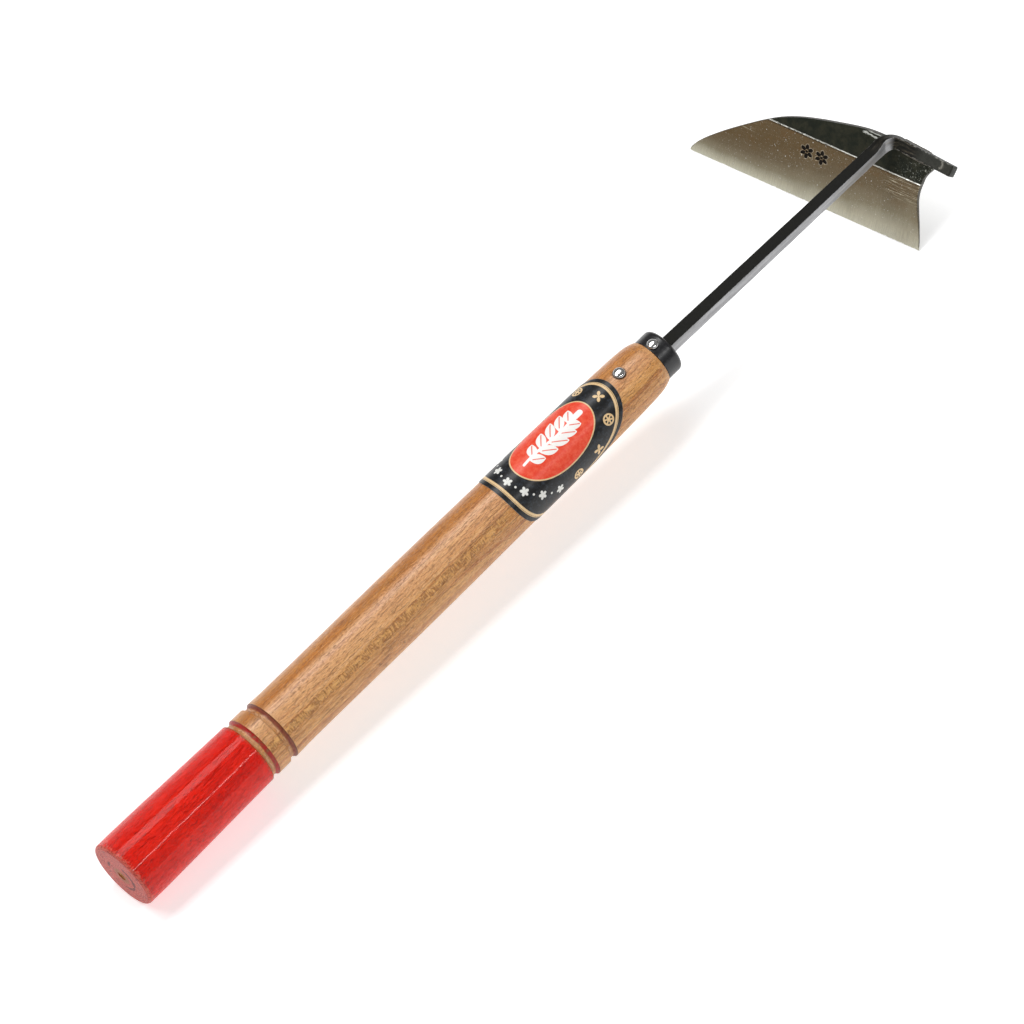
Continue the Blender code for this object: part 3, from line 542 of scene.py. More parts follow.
def bar_material():
    s = Shader("forged_dark_bar")
    tool = s.attribute("tool", True)
    bar = s.attribute("bar", True)  # along the bar, across its side (-1 to 1), across its top (-1 to 1)
    along, side, top = s.split(bar)
    scale_noise = s.noise(tool, 0.75, 5.0, 0.65)
    fine = s.noise(tool, 4.5, 4.0, 0.65)
    drawn = s.noise(s.join(s.mul(along, 0.05), s.mul(side, 2.2), s.mul(top, 2.2)), 1.0, 4.0, 0.7)
    dark = s.mix(s.step(scale_noise, 0.35, 0.68), srgb(11, 11, 9), srgb(24, 24, 20))
    dark = s.mix(s.mul(s.step(drawn, 0.50, 0.72), 0.5), dark, srgb(18, 18, 16))
    dark = s.mix(s.mul(s.step(fine, 0.60, 0.76), 0.22), dark, srgb(70, 66, 60))
    # the side towards the work is linished to grey steel
    ragged = s.mul(s.sub(s.noise(s.join(s.mul(along, 0.7), s.mul(side, 1.0), 3.0), 1.0, 4.0, 0.7), 0.5), 0.10)
    flat_side = s.mul(s.step(s.add(side, ragged), 0.90, 0.95), s.step(s.math("ABSOLUTE", top), 1.01, 0.97))
    ground = s.mix(s.step(drawn, 0.35, 0.66), srgb(182, 182, 184), srgb(152, 152, 154))
    ground = s.mix(s.mul(s.step(fine, 0.52, 0.70), 0.4), ground, srgb(124, 124, 128))
    shank_only = s.step(along, 130.5, 126.5)
    worn = s.mul(flat_side, shank_only)
    base = s.mix(s.mul(worn, 0.92), dark, ground)
    # the crank: heat-browned and rubbed bright in streaks
    crank = s.mul(s.step(along, 117.0, 124.0), s.step(along, 146.0, 137.0))
    streaks = s.noise(s.join(s.mul(along, 0.16), s.mul(side, 3.2), s.mul(top, 3.2)), 1.0, 4.0, 0.75)
    base = s.mix(s.mul(s.mul(crank, s.step(streaks, 0.44, 0.66)), 0.40), base, srgb(96, 88, 74))
    base = s.mix(s.mul(s.mul(crank, s.step(streaks, 0.61, 0.70)), 0.36), base, srgb(170, 164, 150))
    leg = s.step(along, 138.0, 145.0)
    base = s.mix(s.mul(leg, 0.55), base, s.mix(s.step(fine, 0.35, 0.7), srgb(54, 55, 50), srgb(74, 74, 68)))
    # bright corners: worn bare metal together with a painted highlight along the edges, stronger towards the bend
    edge = s.step(s.mul(s.math("ABSOLUTE", side), s.math("ABSOLUTE", top)), 0.80, 0.93)
    edge_wear_and_glint = s.step(s.noise(s.join(s.mul(along, 0.55), s.mul(side, 1.1), s.mul(top, 1.1)), 1.0, 4.0, 0.7), 0.46, 0.60)
    base = s.mix(s.mul(s.mul(edge, edge_wear_and_glint), s.add(0.22, s.mul(s.step(along, 116.0, 126.0), 0.40))), base, srgb(176, 174, 166))
    # crescent dent near the end of the leg, with a painted highlight along it
    dent = s.attribute("dent")
    base = s.mix(s.mul(dent, 0.50), base, srgb(166, 162, 152))
    rough = s.add(0.40, s.add(s.mul(s.step(scale_noise, 0.3, 0.7), 0.16), s.mul(worn, -0.06)))
    height = s.add(s.mul(scale_noise, 1.0), s.add(s.mul(fine, 0.35), s.mul(drawn, 0.5)))
    s.set(Base_Color=base, Roughness=rough, Metallic=0.6, Normal=s.bump(height, 0.16, 0.6))
    s.bsdf.inputs["Specular IOR Level"].default_value = 0.22
    return s.material


def blade_material():
    s = Shader("laminated_ground_blade")
    flat = s.attribute("flat", True)  # along the edge, up from it, off the back
    a, b, c = s.split(flat)
    front = s.attribute("front")
    # ---- ground bevel: fine lines up the blade, brown-grey at the line and bright at the edge
    lines = s.noise(s.join(s.mul(a, 7.5), s.mul(b, 0.16), 0.0), 1.0, 4.0, 0.65)
    lines_fine = s.noise(s.join(s.mul(a, 19.0), s.mul(b, 0.5), 3.0), 1.0, 3.0, 0.6)
    haze = s.noise(s.join(s.mul(a, 0.11), s.mul(b, 0.05), 0.0), 1.0, 3.0, 0.5)
    lower = s.add(s.sub(1.0, s.mul(s.step(a, 72.0, 104.0), 0.22)), s.mul(s.step(a, 74.0, 14.0), 0.85))
    rise = s.add(s.mul(s.mul(b, 1.0 / 27.0), lower), s.mul(s.sub(haze, 0.5), 0.18))
    steel = s.ramp(rise, [(0.0, srgb(232, 229, 208)), (0.13, srgb(212, 207, 184)), (0.34, srgb(158, 148, 124)),
                          (0.62, srgb(126, 111, 86)), (1.0, srgb(112, 92, 62))])
    steel = s.mix(s.mul(s.step(lines, 0.36, 0.66), 0.28), steel, srgb(110, 98, 78))
    steel = s.mix(s.mul(s.step(lines_fine, 0.56, 0.74), 0.22), steel, srgb(232, 228, 214))
    stain = s.noise(s.join(s.mul(a, 0.16), s.mul(b, 0.22), 8.0), 1.0, 4.0, 0.6)
    steel = s.mix(s.mul(s.mul(s.step(stain, 0.50, 0.68), s.step(b, 8.0, 22.0)), 0.40), steel, srgb(122, 92, 56))
    # bright specks of dust and tiny chips
    specks = s.voronoi(s.join(s.mul(a, 0.55), s.mul(b, 0.42), 0.0), 1.0, "F1", 1.0)
    few = s.step(s.noise(s.join(s.mul(a, 0.7), s.mul(b, 0.7), 2.0), 1.0, 2.0, 0.5), 0.44, 0.54)
    speck = s.mul(s.step(specks, 0.13, 0.07), few)
    tiny = s.voronoi(s.join(s.mul(a, 1.5), s.mul(b, 1.2), 6.0), 1.0, "F1", 1.0)
    speck = s.math("MAXIMUM", s.mul(speck, 0.85), s.mul(s.mul(s.step(tiny, 0.20, 0.10), few), 0.55))
    steel = s.mix(speck, steel, srgb(244, 243, 236))
    dust = s.noise(s.join(s.mul(a, 1.9), s.mul(b, 1.4), 1.0), 1.0, 4.0, 0.8)
    steel = s.mix(s.mul(s.step(dust, 0.56, 0.70), 0.22), steel, srgb(214, 206, 184))
    steel = s.mix(s.mul(s.step(dust, 0.44, 0.32), 0.22), steel, srgb(70, 58, 38))
    # long scratches beside the bevel line near the heel
    long_lines = s.noise(s.join(s.mul(a, 0.10), s.mul(b, 2.6), 5.0), 1.0, 4.0, 0.7)
    near = s.mul(s.step(b, 16.0, 19.5), s.step(b, 27.2, 25.8))
    zone = s.math("MAXIMUM", s.step(a, 88.0, 94.0), s.mul(s.step(a, 30.0, 22.0), 0.6))
    scratch = s.mul(s.mul(s.step(long_lines, 0.54, 0.62), near), zone)
    steel = s.mix(s.mul(scratch, 0.85), steel, srgb(228, 218, 190))
    dark_scratch = s.mul(s.mul(s.step(long_lines, 0.42, 0.34), near), zone)
    steel = s.mix(s.mul(dark_scratch, 0.70), steel, srgb(66, 50, 28))
    # ---- forge scale above the bevel line
    tool = s.attribute("tool", True)
    scale_a = s.noise(tool, 0.28, 5.0, 0.6)
    scale_b = s.noise(tool, 2.2, 5.0, 0.7)
    scaled = s.mix(s.step(scale_a, 0.35, 0.68), srgb(40, 44, 36), srgb(58, 58, 46))
    scaled = s.mix(s.mul(s.step(scale_b, 0.50, 0.72), 0.40), scaled, srgb(34, 34, 30))
    # rough mottled patch by the heel, scoured bright in spots
    patch = s.mul(s.mul(s.step(s.add(a, s.mul(scale_a, 8.0)), 95.0, 106.0), s.step(b, 36.6, 34.6)), s.step(b, 26.6, 27.6))
    mottled = s.noise(s.join(s.mul(a, 0.75), s.mul(b, 0.75), 0.0), 1.0, 5.0, 0.75, 1.2)
    scaled = s.mix(s.mul(s.mul(patch, s.step(mottled, 0.575, 0.63)), 0.85), scaled, srgb(196, 198, 188))
    scaled = s.mix(s.mul(s.mul(patch, s.step(mottled, 0.46, 0.38)), 0.6), scaled, srgb(22, 22, 20))
    # painted highlight: thin bright glints along the spine near the bend
    torn = s.mul(s.sub(s.noise(s.join(s.mul(a, 0.5), s.mul(b, 1.3), 4.0), 1.0, 3.0, 0.7), 0.5), 2.2)
    slope = s.sub(s.add(b, torn), s.sub(38.5, s.mul(s.sub(a, 78.5), 0.05)))
    painted_spine_glint = s.mul(s.step(s.math("ABSOLUTE", slope), 0.55, 0.20), s.mul(s.step(a, 75.0, 76.5), s.step(a, 84.6, 83.0)))
    rimlight = s.mul(s.step(s.math("ABSOLUTE", s.sub(s.add(b, s.mul(torn, 0.4)), 39.7)), 0.34, 0.12), s.mul(s.step(a, 77.0, 80.0), s.step(a, 92.0, 88.0)))
    painted_spine_glint = s.math("MAXIMUM", painted_spine_glint, rimlight)
    scaled = s.mix(s.mul(painted_spine_glint, 0.9), scaled, srgb(224, 226, 220))
    # ---- the line between them, with a painted highlight along it, brighter in places
    wander = s.mul(s.sub(s.noise(s.join(s.mul(a, 0.5), 0.0, 0.0), 1.0, 3.0, 0.6), 0.5), 0.5)
    over = s.sub(b, s.add(27.0, wander))
    upper = s.step(over, -0.10, 0.10)
    base = s.mix(upper, steel, scaled)
    # painted highlight along the bevel line
    glint = s.step(s.math("ABSOLUTE", s.sub(over, 0.02)), 0.40, 0.14)
    painted_light_patches = s.step(s.noise(s.join(s.mul(a, 0.22), 0.0, 6.0), 1.0, 3.0, 0.6), 0.34, 0.50)
    base = s.mix(s.mul(glint, s.add(0.35, s.mul(painted_light_patches, 0.65))), base, srgb(238, 238, 230))
    under = s.mul(s.step(over, -1.1, -0.5), s.step(over, -0.12, -0.3))
    base = s.mix(s.mul(under, 0.62), base, srgb(66, 50, 28))
    chew = s.noise(s.join(s.mul(a, 0.9), s.mul(b, 1.2), 7.0), 1.0, 3.0, 0.75)
    gap = s.mul(s.mul(s.step(s.math("ABSOLUTE", s.add(over, 0.25)), 0.55, 0.25), s.step(chew, 0.50, 0.58)), s.mul(s.step(a, 34.0, 38.0), s.step(a, 64.0, 58.0)))
    base = s.mix(s.mul(gap, 0.85), base, srgb(24, 22, 18))
    # two plain rosettes struck in the bevel
    stamp = s.attribute("stamp")
    cut = s.step(stamp, 0.05, -0.10)
    base = s.mix(s.mul(cut, 0.96), base, srgb(12, 11, 10))
    # painted highlight on the raised lip round each rosette
    painted_lip_highlight = s.mul(s.step(stamp, 0.0, 0.12), s.step(stamp, 0.42, 0.20))
    base = s.mix(s.mul(painted_lip_highlight, 0.35), base, srgb(206, 200, 184))
    # ---- back of the plate, and the cut edges
    brushed = s.noise(s.join(s.mul(a, 0.12), s.mul(b, 6.5), 9.0), 1.0, 4.0, 0.65)
    back = s.mix(s.step(brushed, 0.36, 0.66), srgb(160, 158, 148), srgb(122, 118, 106))
    back_scale = s.step(s.add(b, s.mul(s.sub(scale_a, 0.5), 5.0)), 23.5, 25.5)
    back = s.mix(s.mul(back_scale, 0.9), back, scaled)
    base = s.mix(front, back, base)
    side = s.attribute("side")
    base = s.mix(s.mul(side, 0.9), base, s.mix(s.step(scale_b, 0.4, 0.65), srgb(52, 50, 46), srgb(96, 92, 84)))
    ground = s.mul(s.sub(1.0, upper), front)
    rough = s.sub(0.46, s.mul(ground, 0.10))
    rough = s.add(rough, s.mul(s.sub(lines, 0.5), 0.10))
    rough = s.sub(rough, s.mul(glint, 0.14))
    height = s.add(s.mul(s.mul(lines, ground), 0.35), s.mul(s.mul(s.add(scale_b, s.mul(mottled, s.mul(patch, 2.0))), upper), 0.9))
    s.set(Base_Color=base, Roughness=rough, Metallic=0.85, Normal=s.bump(height, 0.16, 0.6))
    return s.material


def weld_material():
    s = Shader("weld_metal")
    tool = s.attribute("tool", True)
    soot = s.noise(tool, 0.9, 5.0, 0.65)
    fine = s.noise(tool, 5.0, 3.0, 0.6)
    base = s.mix(s.step(soot, 0.36, 0.66), srgb(70, 66, 60), srgb(122, 116, 104))
    base = s.mix(s.mul(s.step(fine, 0.54, 0.70), 0.5), base, srgb(176, 170, 158))
    heat = s.step(s.noise(tool, 0.4, 2.0, 0.5), 0.5, 0.7)
    base = s.mix(s.mul(heat, 0.3), base, srgb(96, 74, 58))
    s.set(Base_Color=base, Roughness=s.add(0.42, s.mul(soot, 0.2)), Metallic=0.85, Normal=s.bump(s.add(soot, fine), 0.10, 0.6))
    return s.material


def pin_material():
    s = Shader("bright_plated_pin")
    tool = s.attribute("tool", True)
    x, y, z = s.split(tool)
    wear = s.noise(tool, 2.2, 4.0, 0.65)
    lines = s.noise(s.scale(tool, (9.0, 1.0, 1.0)), 1.0, 3.0, 0.6)
    base = s.mix(s.step(wear, 0.40, 0.72), srgb(232, 232, 232), srgb(196, 194, 188))
    # painted dark reflection round the foot of the dome head
    painted_dark_foot = s.attribute("painted_dark_foot")
    base = s.mix(s.mul(painted_dark_foot, 0.85), base, srgb(40, 36, 32))
    rough = s.add(0.09, s.mul(s.step(wear, 0.45, 0.75), 0.14))
    s.set(Base_Color=base, Roughness=rough, Metallic=1.0, Normal=s.bump(lines, 0.02, 0.35))
    return s.material


def label_material():
    s = Shader("printed_label")
    tool = s.attribute("tool", True)
    edge = s.attribute("edge")
    oval = s.attribute("oval")
    art = s.attribute("art")
    marks = s.attribute("marks")
    band = s.attribute("dashes")
    mottle = s.noise(tool, 0.55, 5.0, 0.72)
    fine = s.noise(tool, 3.2, 4.0, 0.7)
    black = s.mix(s.step(mottle, 0.46, 0.68), srgb(9, 10, 11), srgb(40, 46, 54))
    scuff = s.step(s.noise(s.scale(tool, (0.5, 2.4, 2.4)), 1.0, 5.0, 0.75), 0.60, 0.70)
    black = s.mix(s.mul(scuff, 0.40), black, srgb(104, 112, 118))
    gold = s.mix(s.step(fine, 0.35, 0.65), srgb(236, 206, 160), srgb(214, 178, 126))
    red = s.mix(s.step(mottle, 0.36, 0.68), srgb(230, 62, 34), srgb(240, 96, 68))
    red = s.mix(s.mul(scuff, 0.25), red, srgb(240, 140, 112))
    base = black
    ring = s.mul(s.step(edge, 1.92, 2.06), s.step(edge, 3.50, 3.36))
    line = s.mul(s.step(edge, 2.20, 2.26), s.step(edge, 2.50, 2.44))
    base = s.mix(ring, base, gold)
    base = s.mix(s.mul(line, 0.70), base, srgb(96, 62, 34))
    base = s.mix(s.step(marks, 0.06, -0.06), base, gold)
    base = s.mix(s.step(band, 0.06, -0.06), base, srgb(226, 226, 220))
    base = s.mix(s.step(oval, 0.06, -0.06), base, gold)
    base = s.mix(s.step(oval, -0.50, -0.62), base, red)
    base = s.mix(s.step(art, 0.07, -0.07), base, srgb(246, 244, 240))
    rim = s.step(edge, 0.16, 0.02)
    base = s.mix(s.mul(rim, 0.5), base, srgb(176, 170, 160))
    rough = s.add(0.28, s.add(s.mul(scuff, 0.22), s.mul(mottle, 0.10)))
    height = s.add(s.mul(fine, 0.4), s.mul(mottle, 0.8))
    s.set(Base_Color=base, Roughness=s.add(rough, 0.06), Normal=s.bump(height, 0.05, 0.45))
    s.bsdf.inputs["Specular IOR Level"].default_value = 0.35
    s.bsdf.inputs["Coat Weight"].default_value = 0.12
    s.bsdf.inputs["Coat Roughness"].default_value = 0.22
    return s.material


# --------------------------------------------------------------- turned wood
def groove_shape(x):
    """(depth, share across the groove) of the two cut grooves."""
    depth, place = np.zeros_like(x), np.full_like(x, 9.0)
    for centre in GROOVES:
        share = (x - centre) / (GROOVE_WIDTH / 2)
        inside = np.abs(share) < 1
        depth = np.where(inside, GROOVE_DEPTH * (1 - np.clip(share, -1, 1) ** 2) ** 0.72, depth)
        place = np.where(inside, share, place)
    return depth, place


def turn_degrees(points):
    return np.degrees(np.arctan2(-points[:, 1], points[:, 2]))


def make_handle():
    under = LACQUER_THICK + CLEAR
    xs, rs = [under + 2.0, under + 0.9, under], [0.0, 0.9, 1.5]
    for r in np.arange(2.2, BUTT_RADIUS - under - 1.6, 1.1):
        xs.append(under)
        rs.append(r)
    for k in range(9):
        angle = math.radians(90 * k / 8)
        xs.append(under + 1.5 - 1.5 * math.cos(angle))
        rs.append(BUTT_RADIUS - under - 1.5 + 1.5 * math.sin(angle))
    for x in np.arange(3.5, LACQUER_END - 0.1, 1.4):
        xs.append(x)
        rs.append(float(grip_radius(x)) - under)
    xs.append(LACQUER_END - 0.03)
    rs.append(float(grip_radius(LACQUER_END)) - under)
    fine = np.concatenate([np.arange(LACQUER_END + 0.02, 86.0, 0.14), np.arange(86.0, 278.0, 1.0), np.arange(278.0, 299.99, 0.30), [300.0]])
    depth, _ = groove_shape(fine)
    xs += fine.tolist()
    rs += (grip_radius(fine) - depth).tolist()
    xs += [300.0, 303.0, 306.2, 306.8, 306.8]
    rs += [8.9, 8.9, 8.9, 8.3, 0.0]
    noise, rough = Noise(11), Noise(12)

    def wobble(x, r, angles):
        if x[0] < LACQUER_END or x[0] > 300.0 or r[0] < 9.5:
            return r, x
        c, s = np.cos(angles) * 6, np.sin(angles) * 6
        lathe = 0.012 * noise(x * 1.7, 0.4 * c, 0.4 * s) + 0.030 * noise(x * 0.045, c * 0.5, s * 0.5)
        fibre = 0.010 * rough(x * 0.12, c * 3.4, s * 3.4)
        depth, place = groove_shape(x)
        inside = np.abs(place) < 1.0
        torn = 0.085 * rough(x * 1.5, c * 1.6, s * 1.6) + 0.05 * rough(x * 3.5, c * 4.0, s * 4.0)
        out = lathe + fibre + np.where(inside, torn * np.clip(depth * 1.6, 0, 1), 0)
        limit = np.where(inside, 0.09, 0.0)
        return r + np.minimum(out, limit) - np.where(inside, 0.0, 0.035), x

    points, faces = turned(xs, rs, 180, False, wobble)
    depth, place = groove_shape(points[:, 0])
    radius = np.hypot(points[:, 1], points[:, 2])
    inside = (np.abs(place) < 1) & (radius > 10)
    edge_noise = Noise(13)(points[:, 0] * 0.9, points[:, 1] * 0.35, points[:, 2] * 0.35) * 0.12
    groove = np.where(inside, np.clip(depth / GROOVE_DEPTH * 1.3, 0, 1), 0)
    wall = np.where(inside, np.clip((place - 0.06 + edge_noise) / 0.30, 0, 1), 0)
    lip = np.clip(1 - np.abs(place - 0.97) / 0.13, 0, 1) + 0.8 * np.clip(1 - np.abs(place + 0.96) / 0.09, 0, 1)
    lip = np.where(radius > 10, lip, 0)
    return piece("turned_wood_handle", points, faces, wood_material(), "handle",
                 {"turn": turn_degrees(points), "groove": groove, "groove_wall": wall, "groove_lip": lip}, 32)


def make_lacquer():
    xs, rs = [], []
    inner = BUTT_RADIUS - LACQUER_THICK
    for r in np.concatenate([[2.0, 2.15, 2.5, 3.2, 4.0, 4.8, 5.6, 6.3], np.arange(6.6, 7.6, 0.12), np.arange(8.0, 13.7, 0.6)]):
        xs.append(0.0 + 0.05 * math.exp(-((r - 7.05) / 0.30) ** 2) + (0.10 if r < 2.1 else 0.0) + 0.05 * math.exp(-((r - 4.0) / 0.5) ** 2))
        rs.append(float(r))
    for k in range(11):
        angle = math.radians(90 * k / 10)
        xs.append(1.5 - 1.5 * math.cos(angle))
        rs.append(BUTT_RADIUS - 1.5 + 1.5 * math.sin(angle))
    for x in np.concatenate([np.arange(2.5, 66.0, 0.9), np.arange(66.0, 70.2, 0.3)]):
        xs.append(float(x))
        rs.append(float(grip_radius(x)))
    xs += [LACQUER_END - 0.12, LACQUER_END, LACQUER_END]
    rs += [float(grip_radius(LACQUER_END)) - 0.03, float(grip_radius(LACQUER_END)) - 0.14, float(grip_radius(LACQUER_END)) - LACQUER_THICK]
    for x in np.arange(69.0, 2.5, -3.0):
        xs.append(float(x))
        rs.append(float(grip_radius(x)) - LACQUER_THICK)
    for k in range(7):
        angle = math.radians(90 * (6 - k) / 6)
        xs.append(LACQUER_THICK + 1.5 - 1.5 * math.cos(angle))
        rs.append(inner - 1.5 + 1.5 * math.sin(angle))
    xs.append(LACQUER_THICK)
    rs.append(2.0)
    noise = Noise(21)

    def wobble(x, r, angles):
        surface = float(grip_radius(x[0]))
        c, s = np.cos(angles) * 6, np.sin(angles) * 6
        if r[0] < surface - 0.2 or x[0] < 1.0:
            return r, x
        run = 0.014 * noise(x * 0.05, c * 0.5, s * 0.5) + 0.010 * noise(x * 0.4, c * 2.6, s * 2.6)
        return r - 0.03 + np.minimum(run, 0.025), x

    points, faces = turned(xs, rs, 180, True, wobble)
    return piece("red_lacquer_dip", points, faces, lacquer_material(), "lacquer_coat",
                 {"turn": turn_degrees(points)}, 40)



# -------------------------------------------------------------------- ferrule
def square_ring(x, half, corner, count):
    """count points round a rounded square about the X axis, by angle, like about_x."""
    out = []
    for k in range(count):
        t = 2 * math.pi * k / count
        dy, dz = -math.sin(t), math.cos(t)
        lo, hi = 0.0, half * 1.5
        for _ in range(30):
            mid = (lo + hi) / 2
            qx, qy = max(abs(dy) * mid - (half - corner), 0), max(abs(dz) * mid - (half - corner), 0)
            if math.hypot(qx, qy) - corner > 0 or max(abs(dy), abs(dz)) * mid > half:
                hi = mid
            else:
                lo = mid
        out.append((x, dy * lo, dz * lo))
    return np.array(out)


def make_ferrule(material):
    count = 144
    angles = np.arange(count) * 2 * math.pi / count
    noise = Noise(31)
    rings = []

    def ring(x, r):
        rings.append(about_x(np.full(count, x), np.full(count, r), angles))

    ring(FERRULE_START, FERRULE_BORE)
    ring(FERRULE_START, FERRULE_R - 0.22)
    ring(FERRULE_START + 0.07, FERRULE_R - 0.07)
    ring(FERRULE_START + 0.22, FERRULE_R)
    for x in np.arange(FERRULE_START + 0.6, FERRULE_END - 1.75, 0.3):
        ring(x, FERRULE_R)
    for k in range(13):
        angle = math.radians(90 * k / 12)
        ring(FERRULE_END - 1.7 + 1.7 * math.sin(angle), FERRULE_R - 1.7 + 1.7 * math.cos(angle))
    ring(FERRULE_END, 7.2)
    ring(FERRULE_END, 6.2)
    rings.append(square_ring(FERRULE_END, 3.62, 0.9, count))
    rings.append(square_ring(FERRULE_END - 0.15, 3.5, 0.8, count))
    rings.append(square_ring(FERRULE_END - 1.2, 3.5, 0.8, count))
    ring(FERRULE_END - 1.2, 6.2)
    ring(FERRULE_END - 1.2, FERRULE_BORE)
    rows = len(rings)
    points = np.vstack(rings)
    # seat dished a little round the pin
    d = np.hypot(points[:, 0] - FERRULE_PIN_X, points[:, 1])
    outer = (np.hypot(points[:, 1], points[:, 2]) > FERRULE_R - 0.6) & (points[:, 2] > 0)
    dish = np.where(outer, 0.05 * np.clip(1 - (d / 3.4) ** 2, 0, 1), 0)
    radial = np.hypot(points[:, 1], points[:, 2])
    ding = np.where(radial > 9.2, 0.02 * noise(points[:, 0] * 0.4, points[:, 1] * 0.25, points[:, 2] * 0.25), 0)
    factor = (radial - dish - 0.02 + np.minimum(ding, 0.02)) / radial
    move = radial > 9.2
    points[move, 1:] *= factor[move, None]
    faces = grid_faces(rows, count, True)
    faces += [((rows - 1) * count + k, (rows - 1) * count + (k + 1) % count, (k + 1) % count, k) for k in range(count)]
    return piece("black_ferrule_cup", points, faces, material, "ferrule", None, 42)


# ----------------------------------------------------------------------- bar
def blade_axes():
    yaw, rise, lean = (math.radians(v) for v in (10.3, 4.6, 40.7))
    along = np.array([math.sin(yaw) * math.cos(rise), -math.cos(yaw) * math.cos(rise), math.sin(rise)])
    upright = unit(np.array([0, 0, 1.0]) - along * along[2])
    forward = np.cross(along, upright)
    forward = forward if forward[0] > 0 else -forward
    return along, math.cos(lean) * upright + math.sin(lean) * forward, math.sin(lean) * upright - math.cos(lean) * forward


ALONG, UP, FACE = blade_axes()
BLADE_ORIGIN = NECK_CORNER - 89.2 * ALONG - 41.4 * UP - 5.2 * FACE
DROP, ROLL = math.radians(4.1), math.radians(18.0)
LEG_AXIS = unit(math.cos(DROP) * ALONG - math.sin(DROP) * UP)
LEG_FACE = math.cos(ROLL) * FACE + math.sin(ROLL) * UP
LEG_FACE = unit(LEG_FACE - LEG_AXIS * (LEG_FACE @ LEG_AXIS))


def turn_about(vector, axis, angle):
    return np.array(Matrix.Rotation(angle, 3, Vector(axis)) @ Vector(vector))


def bar_stations():
    """(distance from the ferrule, centre, side, top, half side, half top) along the whole bar."""
    start = np.array([FERRULE_END, 0.0, 0.0])
    shank = unit(NECK_CORNER - start)
    turn = math.acos(float(shank @ LEG_AXIS))
    bend = 6.0
    tangent = bend * math.tan(turn / 2)
    hinge = unit(np.cross(shank, LEG_AXIS))
    bend_start = NECK_CORNER - shank * tangent
    bend_end = NECK_CORNER + LEG_AXIS * tangent
    bend_centre = bend_start + unit(np.cross(hinge, shank)) * bend
    top0 = unit(np.array([0, 0, 1.0]) - shank * shank[2])
    side0 = unit(np.cross(top0, shank))
    side0 = side0 if side0[1] < 0 else -side0
    side_end = turn_about(side0, hinge, turn)
    twist = math.atan2(float(np.cross(side_end, LEG_FACE) @ LEG_AXIS), float(side_end @ LEG_FACE))
    out = []

    def add(run, centre, direction, angle, share, half_side, half_top):
        side, top = turn_about(side0, hinge, angle), turn_about(top0, hinge, angle)
        share = share * share * (3 - 2 * share)
        if share:
            side, top = turn_about(side, direction, twist * share), turn_about(top, direction, twist * share)
        out.append((run, centre, side, top, half_side, half_top))

    for x in np.linspace(214.0, FERRULE_END, 24):
        share = (x - 214.0) / (FERRULE_END - 214.0)
        size = [2.6 + (v - 2.6) * min(1.0, share / 0.82) ** 0.8 for v in (5.8, 6.3)]
        out.append((x - FERRULE_END, np.array([x, 0, 0.0]), np.array([0, -1.0, 0]), np.array([0, 0, 1.0]), size[0] / 2, size[1] / 2))
    before, after = 5.0, 3.0
    length = float(np.linalg.norm(bend_start - start))
    total = before + bend * turn + after
    for d in np.concatenate([np.arange(0.7, length - before, 0.7), np.linspace(length - before, length, 12)]):
        k = d / length
        add(d, start + shank * d, shank, 0.0, max(0.0, (d - (length - before)) / total),
            (5.8 + (4.9 - 5.8) * k) / 2, (6.3 + (5.6 - 6.3) * k) / 2)
    for i in range(1, 25):
        angle = turn * i / 24
        k = i / 24
        centre = bend_centre + turn_about(bend_start - bend_centre, hinge, angle)
        add(length + bend * angle, centre, turn_about(shank, hinge, angle), angle, (before + bend * angle) / total,
            (4.9 + (5.0 - 4.9) * k) / 2, (5.6 + (4.8 - 5.6) * k) / 2)
    leg = 31.4 - tangent
    for d in np.concatenate([np.arange(0.6, leg - 0.5, 0.6), [leg - 0.45, leg - 0.28, leg - 0.13, leg - 0.04, leg]]):
        inset = 0.0 if d < leg - 0.46 else 0.5 - math.sqrt(max(0.0, 0.25 - (d - leg + 0.5) ** 2))
        add(length + bend * turn + d, bend_end + LEG_AXIS * d, LEG_AXIS, turn, min(1.0, (before + bend * turn + d) / total),
            2.5 - inset, 2.4 - inset)
    return out


def bar_outline(per_side, corner_steps, corner):
    """Points (side share, top share, is it a corner) of a rounded square between -1 and 1, with the corner as a share."""
    out = []
    for q in range(4):
        mid = math.radians(90 * q)
        for k in range(per_side):
            t = -1 + corner + (2 - 2 * corner) * k / per_side
            out.append((math.cos(mid) - t * math.sin(mid), math.sin(mid) + t * math.cos(mid)))
        for k in range(corner_steps):
            turn = math.radians(90 * q + 90 * k / corner_steps)
            base = ((1 - corner) * (math.cos(mid) - math.sin(mid)), (1 - corner) * (math.sin(mid) + math.cos(mid)))
            out.append((base[0] + corner * math.cos(turn), base[1] + corner * math.sin(turn)))
    return np.array(out)


